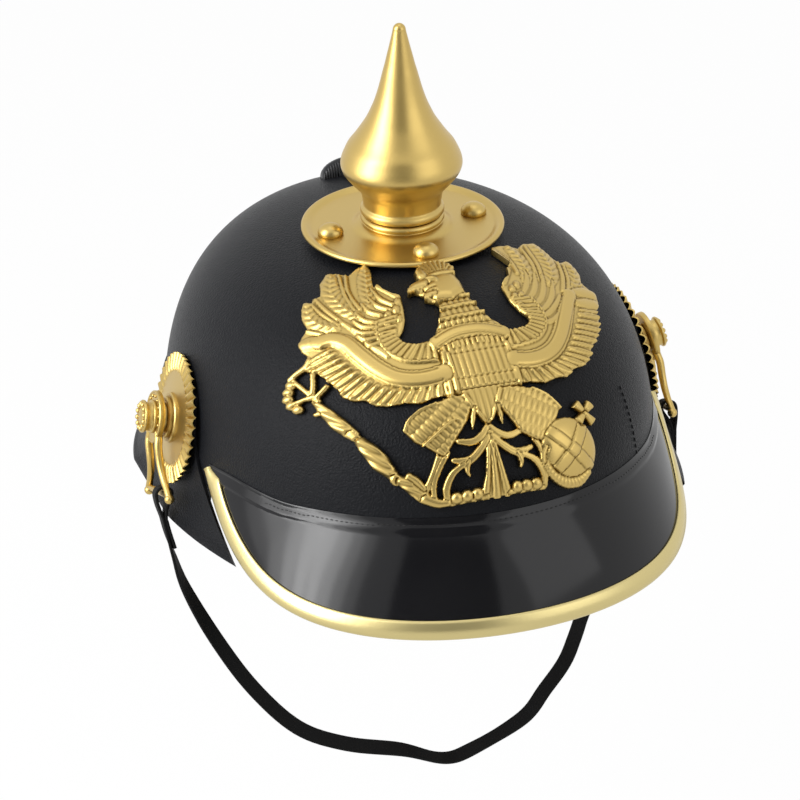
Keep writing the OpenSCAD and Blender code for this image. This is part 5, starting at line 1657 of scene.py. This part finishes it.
def head_and_chest(relief):
    relief.polygon(BODY, 1.9, edge=1.6, pattern=ribs(2.15, 0.16, spread=0.1))
    # neck: rows of short upright feathers
    neck = [(-7, 46.6), (-7.6, 42.6), (-9.4, 38.4), (-12, 34.4), (12, 34.4), (8.8, 38.4), (7.2, 42.6),
            (6.2, 48)]
    relief.polygon(neck, 2.4, edge=3.0, outline=False, pattern=ribs(2.3, 0.3))
    for y, left, right in ((46.8, -6.8, 6), (42.9, -7.6, 7), (38.4, -9.2, 8.4)):
        relief.stroke([(left, y - 0.4), (mix(left, right, 0.5), y), (right, y + 0.3)], (0.5, 0.6, 0.5), 2.6,
                      0.5)
        relief.groove([(left, y - 1.3), (mix(left, right, 0.5), y - 0.9), (right, y - 0.6)], 0.35, 0.4)
    # head, brow, beak and comb
    relief.polygon([(-10, 57), (-9.4, 50.4), (-6.6, 47), (0, 46.2), (5.6, 49), (6, 54), (5, 58.6), (0, 60)],
                   3.1, edge=3.4, outline=False)
    relief.stroke([(-8, 55.4), (-12, 54.6), (-15.6, 52.4)], (1.9, 1.7, 0.5), 1.8, 1.3)
    relief.stroke([(-6, 50.2), (-9, 49.8), (-11, 48.6)], (1.2, 1.1, 0.6), 1.8, 1.1)
    relief.stroke([(-8.6, 57.2), (-4, 56.6), (-3.4, 55)], (0.5, 0.7, 0.5), 3.0, 0.5)
    relief.groove([(-6.8, 54.6), (-5.2, 55.2)], 0.45, 0.8)
    relief.groove([(-12.6, 52.4), (-9, 52), (-5, 52.6)], 0.3, 0.6)
    for k in range(9):
        angle = math.radians(mix(146.0, 18.0, k / 8.0))
        tip = (-1.4 + 7.0 * math.cos(angle), 58.9 + 5.9 * math.sin(angle))
        root = (-1.2 + 4.4 * math.cos(angle), 58.2 + 1.8 * math.sin(angle))
        relief.stroke([root, tip], (0.8, 1.0), 2.3, 0.6)
    relief.stroke([(-7.6, 58.6), (-7.8, 60.2)], (2.0, 1.7), 2.3, 1.4)
    relief.stroke([(-5.4, 57.8), (-1, 58.6), (4.8, 58.2)], (0.7, 0.9, 0.8), 2.8, 0.5)
    # chest panel: ribs below a row of short dashes, between two upright borders
    panel = [(-13.4, 9), (-13, 27), (-7, 28.6), (0, 29.2), (7, 28.6), (12.2, 27), (12.4, 9)]
    relief.polygon(panel, 2.3, edge=0.8, outline=False, pattern=ribs(2.3, 0.24))
    for k in range(13):
        x = mix(-11.6, 11.0, k / 12.0)
        rise = 1.6 * (1.0 - (x / 12.0) ** 2)
        relief.stroke([(x, 24.8 + rise), (x, 26.8 + rise)], (0.5, 0.5), 2.4, 0.5)
    for route in ([(-13.6, 8.6), (-12.6, 24.6)], [(-11.2, 9.6), (-10.8, 23.6)], [(12.6, 8.6), (12, 24.6)]):
        relief.stroke(route, (0.95, 0.8), 2.2, 0.8)
    for y in (13.4, 23.4):
        relief.groove([(-10, y), (11, y)], 0.35, 0.35)
    # pointed end of the body and the two light leaves beside it
    relief.stroke([(-9.2, 7.4), (-6.6, 1.8), (-4, -3.4)], (0.8, 0.8, 0.5), 1.9, 0.7)
    relief.stroke([(4.2, 7.4), (1.4, 1.8), (-1.6, -3.4)], (0.8, 0.8, 0.5), 1.9, 0.7)
    relief.stroke([(-6.8, 2.2), (-8, -1.4), (-9.1, -5.2)], (0.8, 1.1, 0.4), 1.0, 0.8, outline=True)
    relief.stroke([(1.8, 1.8), (2.2, -1.4), (2.2, -5)], (0.8, 1.1, 0.4), 1.0, 0.8, outline=True)


def thighs(relief):
    relief.polygon(LEFT_THIGH, 1.9, edge=1.2, pattern=brick(35.0, 2.3, 5.0, 0.5))
    relief.polygon(RIGHT_THIGH, 1.9, edge=1.2, pattern=brick(-30.0, 2.3, 5.0, 0.5))
    relief.stroke([(-32.4, -1), (-30.4, 2.4), (-25.6, 5.2), (-19.6, 6.4)], (0.7, 0.8, 0.7), 1.7, 0.7)
    relief.stroke([(-27.6, -8), (-17.6, -2), (-14, -0.6)], (0.45, 0.5, 0.4), 2.1, 0.5)
    relief.stroke([(16.6, 6), (21.6, 3), (26, -2.2)], (0.7, 0.8, 0.7), 1.7, 0.7)


def tail(relief):
    """The tail: a middle with three feathers, and scrolls and beads at both sides."""
    middle = -3.2
    relief.polygon([(-4.4, -4), (-1.8, -4), (-1.2, -12), (0, -22), (2.4, -30.5), (-10.4, -30.5), (-7, -22),
                    (-5.4, -12)], 1.6, edge=0.7)
    for foot in (-8.2, -3.9, 0.4):
        relief.stroke([(middle + 0.1 * foot, -6), (mix(middle, foot, 0.5), -18), (foot, -30)],
                      (0.7, 1.0, 1.5), 1.5, 1.0)
    for s in (-1, 1):
        def at(x, y):
            return (middle + s * x, y)
        relief.stroke([at(0.6, -5.5), at(3.5, -8.4), at(7, -9.8), at(11.5, -8.8)], (1.1, 1.4, 1.5, 1.1), 1.2,
                      1.1, True, rib=-0.3)
        relief.stroke([at(0.8, -9), at(4.5, -13), at(9, -16), at(14.5, -15)], (1.2, 1.5, 1.6, 1.0), 1.2, 1.1,
                      True, rib=-0.3)
        relief.stroke([at(9, -16), at(10.2, -19), at(9.6, -21.4)], (0.8, 1.2, 0.5), 1.1, 1.0, True)
        relief.stroke([at(11, -17), at(15.5, -19.5), at(18.4, -24.5), at(18, -29)], (1.0, 1.4, 1.5, 1.2),
                      1.2, 1.1, True, rib=-0.3)
        relief.stroke([at(4, -29.4), at(17.6, -29.6)], (1.0, 1.1), 1.0, 0.7, True)
        for x in (7.5, 11.2, 15):
            relief.stroke([at(x, -28.1), at(x + 0.1, -28)], (2.2, 2.2), 0.8, 1.9, True)


def sceptre(relief):
    relief.stroke([(-58.5, 18), (-56, 13), (-52.5, 7), (-49.2, 2.4)], (1.1, 2.0, 2.5, 2.0), 0.9, 1.9, True,
                  twist=0.4, pitch=8.0)
    relief.stroke([(-49.8, 2.8), (-47.4, -0.4)], (1.7, 1.4), 1.0, 1.2, True)
    relief.stroke([(-47.4, -0.6), (-44.4, -5.6), (-41.4, -11), (-38.8, -15)], (1.8, 2.8, 3.0, 1.8), 0.9, 2.0,
                  True, twist=0.45, pitch=8.0)
    relief.stroke([(-38.2, -16.6), (-37.6, -17.4)], (1.9, 1.9), 1.2, 1.4, True)
    relief.stroke([(-36.6, -17.6), (-33, -20.8), (-29.4, -25.4)], (1.6, 2.5, 2.2), 0.9, 1.8, True,
                  twist=0.35, pitch=7.0)
    relief.stroke([(-33.6, -16.8), (-31, -19.4), (-29, -22.4)], (1.2, 1.3, 1.0), 1.1, 1.2, True)
    relief.stroke([(-29, -26), (-25, -28.4), (-21.6, -29)], (1.8, 1.7, 1.4), 1.1, 1.4, True)
    for route in ([(-64, 29.5), (-61, 24), (-57.6, 18.2)], [(-57, 28.6), (-58, 24), (-59.2, 20.4)],
                  [(-53.8, 22.6), (-56, 21), (-58.4, 19.4)], [(-65, 19.9), (-62, 20.2), (-58.8, 20.2)]):
        relief.stroke(route, (0.9, 0.9, 1.0), 1.2, 0.9, True)
    relief.stroke([(-64.4, 29.4), (-62, 30.8), (-58.6, 32.4), (-56.8, 34.6)], (0.9, 1.0, 1.0), 1.0, 0.8,
                  True)
    for x, y in ((-64.6, 27.2), (-66, 24.9), (-66.6, 22.3), (-66, 19.7), (-64.4, 17.5)):
        relief.stroke([(x, y), (x + 0.1, y - 0.1)], (1.7, 1.7), 0.8, 1.5, True)
    relief.stroke([(-59.2, 13.6), (-58.2, 13.4)], (0.9, 0.9), 0.9, 0.9, True)


def claws(relief):
    for route in ([(-22.5, -12.5), (-25.4, -18), (-28.6, -23.4)],
                  [(-19.5, -12), (-23.4, -17.4), (-25.6, -22), (-26, -27)],
                  [(13.5, -12.5), (15, -15.6), (16, -19.5)], [(18.6, -12), (17.4, -15), (15.6, -18.6)]):
        relief.stroke(route, (1.2, 1.1, 1.2), 1.1, 1.1, True, rib=-0.25)


def orb(relief):
    centre = (27.0, -17.5)
    radius = 11.6
    relief.stroke([centre, (centre[0] + 0.1, centre[1])], (radius, radius), 0.9, 3.2, True)
    for route in ([(18.6, -9.8), (27, -17.6), (35.4, -25)], [(19.4, -24.6), (27.4, -17.2), (33.6, -8.8)]):
        i, j, p, q = relief.window(route, 3.0)
        gap = route_gap(p, q, np.asarray(route, float))[0]
        inside = np.hypot(p - centre[0], q - centre[1]) < radius - 0.4
        relief.height[i, j] += np.where((gap < 2.1) & inside, 0.55, 0.0)
        relief.height[i, j] -= np.where((np.abs(gap - 2.1) < 0.3) & inside, 0.35, 0.0)
    relief.stroke([(15.6, -20.6), (19, -26), (24, -29), (29.4, -28.8), (33.6, -26)],
                  (1.4, 1.9, 2.2, 2.2, 1.4), 1.5, 1.4, True, barbs=0.15, pitch=1.6, slant=0.0)
    relief.stroke([(17.4, -15.6), (15.6, -18.4), (15.4, -20.6)], (0.8, 1.1, 1.2), 1.4, 1.0, True)
    relief.stroke([(32.8, -8.8), (34.4, -7.2), (35.8, -5.8)], (1.0, 1.1, 1.0), 1.2, 1.0, True)
    for k in range(4):
        angle = math.radians(42.0 + 90.0 * k)
        c, s = math.cos(angle), math.sin(angle)
        arm = [(-0.8, 0.8), (5.0, 2.0), (5.2, 0.0), (5.0, -2.0), (-0.8, -0.8)]
        relief.polygon([(36.4 + c * x - s * y, -5 + s * x + c * y) for x, y in arm], 2.2, edge=0.9)


# each part is laid over the ones before it
EAGLE_PARTS = (wing_fringe, wing_feathers, tail, claws, thighs, head_and_chest, ribbons, sceptre, orb)


class HELMET_OT_eagle(bpy.types.Operator):
    """Makes the embossed eagle plate on the front of the shell"""

    bl_idname = "helmet.eagle"
    bl_label = "Eagle plate"

    def execute(self, context):
        relief = Relief()
        relief.polygon(LEFT_WING, 1.2)
        relief.polygon(RIGHT_WING, 1.2)
        for draw in EAGLE_PARTS:
            draw(relief)
        points, faces, painted_recess_shade = relief_mesh(relief)
        plate = stand_in("eagle_plate", "eagle_relief", (points, faces), "gilt", smooth=60.0)
        # the plate keeps the painted shade of its recesses as a point attribute for the gilt
        plate.data.attributes.new("painted_recess_shade", "FLOAT", "POINT").data.foreach_set("value", painted_recess_shade)
        return {"FINISHED"}


def soften(field, rounds=1):
    """Averages a field with its neighbours a little, as a pressing rounds its steps."""
    for _ in range(rounds):
        padded = np.pad(field, 1, mode="edge")
        around = padded[:-2, 1:-1] + padded[2:, 1:-1] + padded[1:-1, :-2] + padded[1:-1, 2:]
        field = 0.5 * field + 0.125 * around
    return field


def eagle_place(p, q, grow):
    """Places of the drawing sent along the tilted axis onto a grown shell."""
    tilt = math.radians(EAGLE_TILT)
    base = np.stack([p, q * math.sin(tilt), q * math.cos(tilt) - EAGLE_DROP], axis=-1)
    along = np.array([0.0, -math.cos(tilt), math.sin(tilt)])
    near = np.zeros(len(p))
    far = np.full(len(p), 220.0)
    wide, long, rise = mm("half_width") + grow, mm("half_length") + grow, crown_rise() + grow
    for _ in range(40):
        middle = (near + far) / 2
        at = base + along * middle[:, None]
        share = np.hypot(at[:, 0] / wide, at[:, 1] / long)
        height = np.maximum((at[:, 2] - SHELL_BASE) / rise, 0.0)
        inside = share**ROUNDNESS + height**ROUNDNESS < 1.0
        near = np.where(inside, middle, near)
        far = np.where(inside, far, middle)
    return base + along * middle[:, None]


def relief_mesh(relief):
    """The plate's face with its outline drawn out exactly, and its sides down to the back."""
    outside = soften(relief.outside)
    height = soften(np.maximum(relief.height, LEAST_HEIGHT))
    kept = (outside[:-1, :-1] < 0) | (outside[1:, :-1] < 0) | (outside[:-1, 1:] < 0) | (outside[1:, 1:] < 0)
    deep = (outside[:-1, :-1] + outside[1:, :-1] + outside[:-1, 1:] + outside[1:, 1:]) / 4.0
    kept &= deep < EAGLE_CELL * 0.15
    # a place with four kept cells round it lies inside the plate, one with fewer on its edge
    cells = np.zeros(outside.shape, int)
    for di in (0, 1):
        for dj in (0, 1):
            cells[di : di + kept.shape[0], dj : dj + kept.shape[1]] += kept
    used = cells > 0
    edge = used & (cells < 4)
    slope_p, slope_q = np.gradient(outside, EAGLE_CELL)
    steep = np.maximum(slope_p**2 + slope_q**2, 0.2)
    p, q = np.meshgrid(relief.p, relief.q, indexing="ij")
    shift = np.clip(outside / steep, -0.7 * EAGLE_CELL, 0.7 * EAGLE_CELL)
    p = np.where(edge, p - shift * slope_p, p)
    q = np.where(edge, q - shift * slope_q, q)
    number = np.full(outside.shape, -1)
    number[used] = np.arange(used.sum())
    foot = eagle_place(p[used], q[used], EAGLE_BACK)
    normal = shell_normal(foot)
    top = foot + normal * height[used][:, None]
    i, j = np.nonzero(kept)
    quads = np.stack([number[i, j], number[i + 1, j], number[i + 1, j + 1], number[i, j + 1]], axis=-1)
    faces = [list(face) for face in quads]
    # sides hang from every edge that only one face has
    pairs = {}
    for face in quads.tolist():
        for a, b in zip(face, face[1:] + face[:1]):
            if not pairs.pop((b, a), False):
                pairs[(a, b)] = True
    below = {}
    points = list(top)
    for a, b in pairs:
        for k in (a, b):
            if k not in below:
                below[k] = len(points)
                points.append(foot[k] - normal[k] * 0.2)
    faces.extend([b, a, below[a], below[b]] for a, b in pairs)
    # painted shade: places lower than the softened relief round them get darker gilt, and the plate's sides
    # a fixed share of it
    lower = np.clip((soften(height, 5) - height) / PAINTED_SHADE_DEPTH, 0.0, 1.0)
    return np.array(points), faces, np.concatenate([lower[used], np.full(len(below), 0.6)])


# Lining

BAND_HEIGHT = 30.0
BAND_THICKNESS = 1.6
BAND_INSET = -8.0
STITCH_INSET = 2.6
TONGUES = 8
TONGUE_GAP = 1.5
TONGUE_THICKNESS = 1.2
TONGUE_LOW = 42.0
TONGUE_HIGH = 84.0
TONGUE_RING = 24.0


def band_low(degrees):
    """The height of the sweatband's lower edge."""
    return mix(SEAM_FRONT - 18.0, 16.0, ease((off_front(degrees) - 40.0) / 60.0))


class HELMET_OT_lining(bpy.types.Operator):
    """Makes the leather sweatband and the tongues of the lining"""

    bl_idname = "helmet.lining"
    bl_label = "Lining"

    def execute(self, context):
        angles = np.arange(200) * 360.0 / 200
        shares = np.linspace(0.0, 1.0, 25)
        heights = band_low(angles)[:, None] + BAND_HEIGHT * shares[None, :]
        wall = shell_point(angles[:, None], heights, BAND_INSET)
        inner = shell_point(angles[:, None], heights, BAND_INSET - BAND_THICKNESS)
        # both edges are soft, and a shallow sewn channel runs beside each of them on the inside
        edge = 0.55 * np.exp(-((np.minimum(shares, 1.0 - shares) / 0.012) ** 2))
        line = 0.3 * np.exp(-(((np.minimum(shares, 1.0 - shares) - 0.085) / 0.018) ** 2))
        towards = unit(wall - inner)
        wall = wall - towards * edge[None, :, None]
        inner = inner + towards * (edge + line)[None, :, None]
        band = thick_sheet(wall, inner, closed=True)
        stand_in("sweatband", "sweatband_leather", band, "tan_leather", smooth=50.0)

        inset = BAND_INSET - BAND_THICKNESS - TONGUE_GAP
        span = 360.0 / TONGUES
        along = np.linspace(0.0, 1.0, 33)[None, :]
        across = np.linspace(-1.0, 1.0, 19)[:, None]
        parts = []
        for k in range(TONGUES):
            middle = (k + 0.5) * span
            # the tip is cut to a round end, and the sides draw in towards it
            reach = along * (1.0 - 0.05 * across**2)
            half = span * mix(0.42, 0.34, reach)
            turned = middle + half * across

            def tongue(grow):
                foot = shell_point(turned, TONGUE_LOW, inset + grow)
                angle = np.radians(turned)
                x = mix(foot[..., 0], TONGUE_RING * np.sin(angle), reach**2)
                y = mix(foot[..., 1], -TONGUE_RING * np.cos(angle), reach**2)
                z = mix(TONGUE_LOW, TONGUE_HIGH + grow, np.sin(np.pi / 2 * reach))
                crease = 0.25 * np.sin(np.pi * across) * np.sin(np.pi * reach)
                return np.stack([x, y, z + crease], axis=-1)

            parts.append(thick_sheet(tongue(0.0), tongue(-TONGUE_THICKNESS)))
        stand_in("crown_lining", "lining_tongues", joined(parts), "tan_leather", smooth=50.0)
        return {"FINISHED"}


# Pieces of the frame that are kept, with their finishes

STEEL_NODES = (
    "spine_rivets", "stud_nuts", "spike_socket", "eagle_screws", "eagle_nuts", "left_post", "right_post",
    "left_post_nut", "right_post_nut", "band_rivets",
)


class HELMET_OT_kept_pieces(bpy.types.Operator):
    """Gives the pieces that stay as they are their finishes"""

    bl_idname = "helmet.kept_pieces"
    bl_label = "Kept pieces"

    def execute(self, context):
        for node in STEEL_NODES:
            dress_node(node, "steel")
        dress_node("lining_cord", "black_cord")
        return {"FINISHED"}


class HELMET_PT_panel(bpy.types.Panel):
    bl_label = "Helmet"
    bl_idname = "HELMET_PT_panel"
    bl_space_type = "VIEW_3D"
    bl_region_type = "UI"
    bl_category = "Helmet"

    def draw(self, context):
        for operator in OPERATORS:
            self.layout.operator(operator.bl_idname)
        for group in (context.scene.helmet_sizes, context.scene.helmet_looks):
            box = self.layout.box()
            for name in group.__annotations__:
                box.prop(group, name)


OPERATORS = (
    HELMET_OT_camera,
    HELMET_OT_chin_strap,
    HELMET_OT_studio,
    HELMET_OT_shell,
    HELMET_OT_visor,
    HELMET_OT_visor_trim,
    HELMET_OT_neck_guard,
    HELMET_OT_spike_plate,
    HELMET_OT_plate_studs,
    HELMET_OT_spike,
    HELMET_OT_cockades,
    HELMET_OT_lugs,
    HELMET_OT_knobs,
    HELMET_OT_rear_spine,
    HELMET_OT_eagle,
    HELMET_OT_lining,
    HELMET_OT_rows,
    HELMET_OT_kept_pieces,
)
CLASSES = (HelmetSizes, HelmetLooks, *OPERATORS, HELMET_PT_panel)


def register():
    for cls in CLASSES:
        bpy.utils.register_class(cls)
    bpy.types.Scene.helmet_sizes = bpy.props.PointerProperty(type=HelmetSizes)
    bpy.types.Scene.helmet_looks = bpy.props.PointerProperty(type=HelmetLooks)


def unregister():
    del bpy.types.Scene.helmet_looks
    del bpy.types.Scene.helmet_sizes
    for cls in reversed(CLASSES):
        bpy.utils.unregister_class(cls)


def main():
    register()
    bpy.ops.helmet.camera()
    bpy.ops.helmet.chin_strap()
    bpy.ops.helmet.studio()
    bpy.ops.helmet.shell()
    bpy.ops.helmet.visor()
    bpy.ops.helmet.visor_trim()
    bpy.ops.helmet.neck_guard()
    bpy.ops.helmet.spike_plate()
    bpy.ops.helmet.plate_studs()
    bpy.ops.helmet.spike()
    bpy.ops.helmet.cockades()
    bpy.ops.helmet.lugs()
    bpy.ops.helmet.knobs()
    bpy.ops.helmet.rear_spine()
    bpy.ops.helmet.eagle()
    bpy.ops.helmet.lining()
    bpy.ops.helmet.rows()
    bpy.ops.helmet.kept_pieces()


if __name__ == "__main__":
    main()
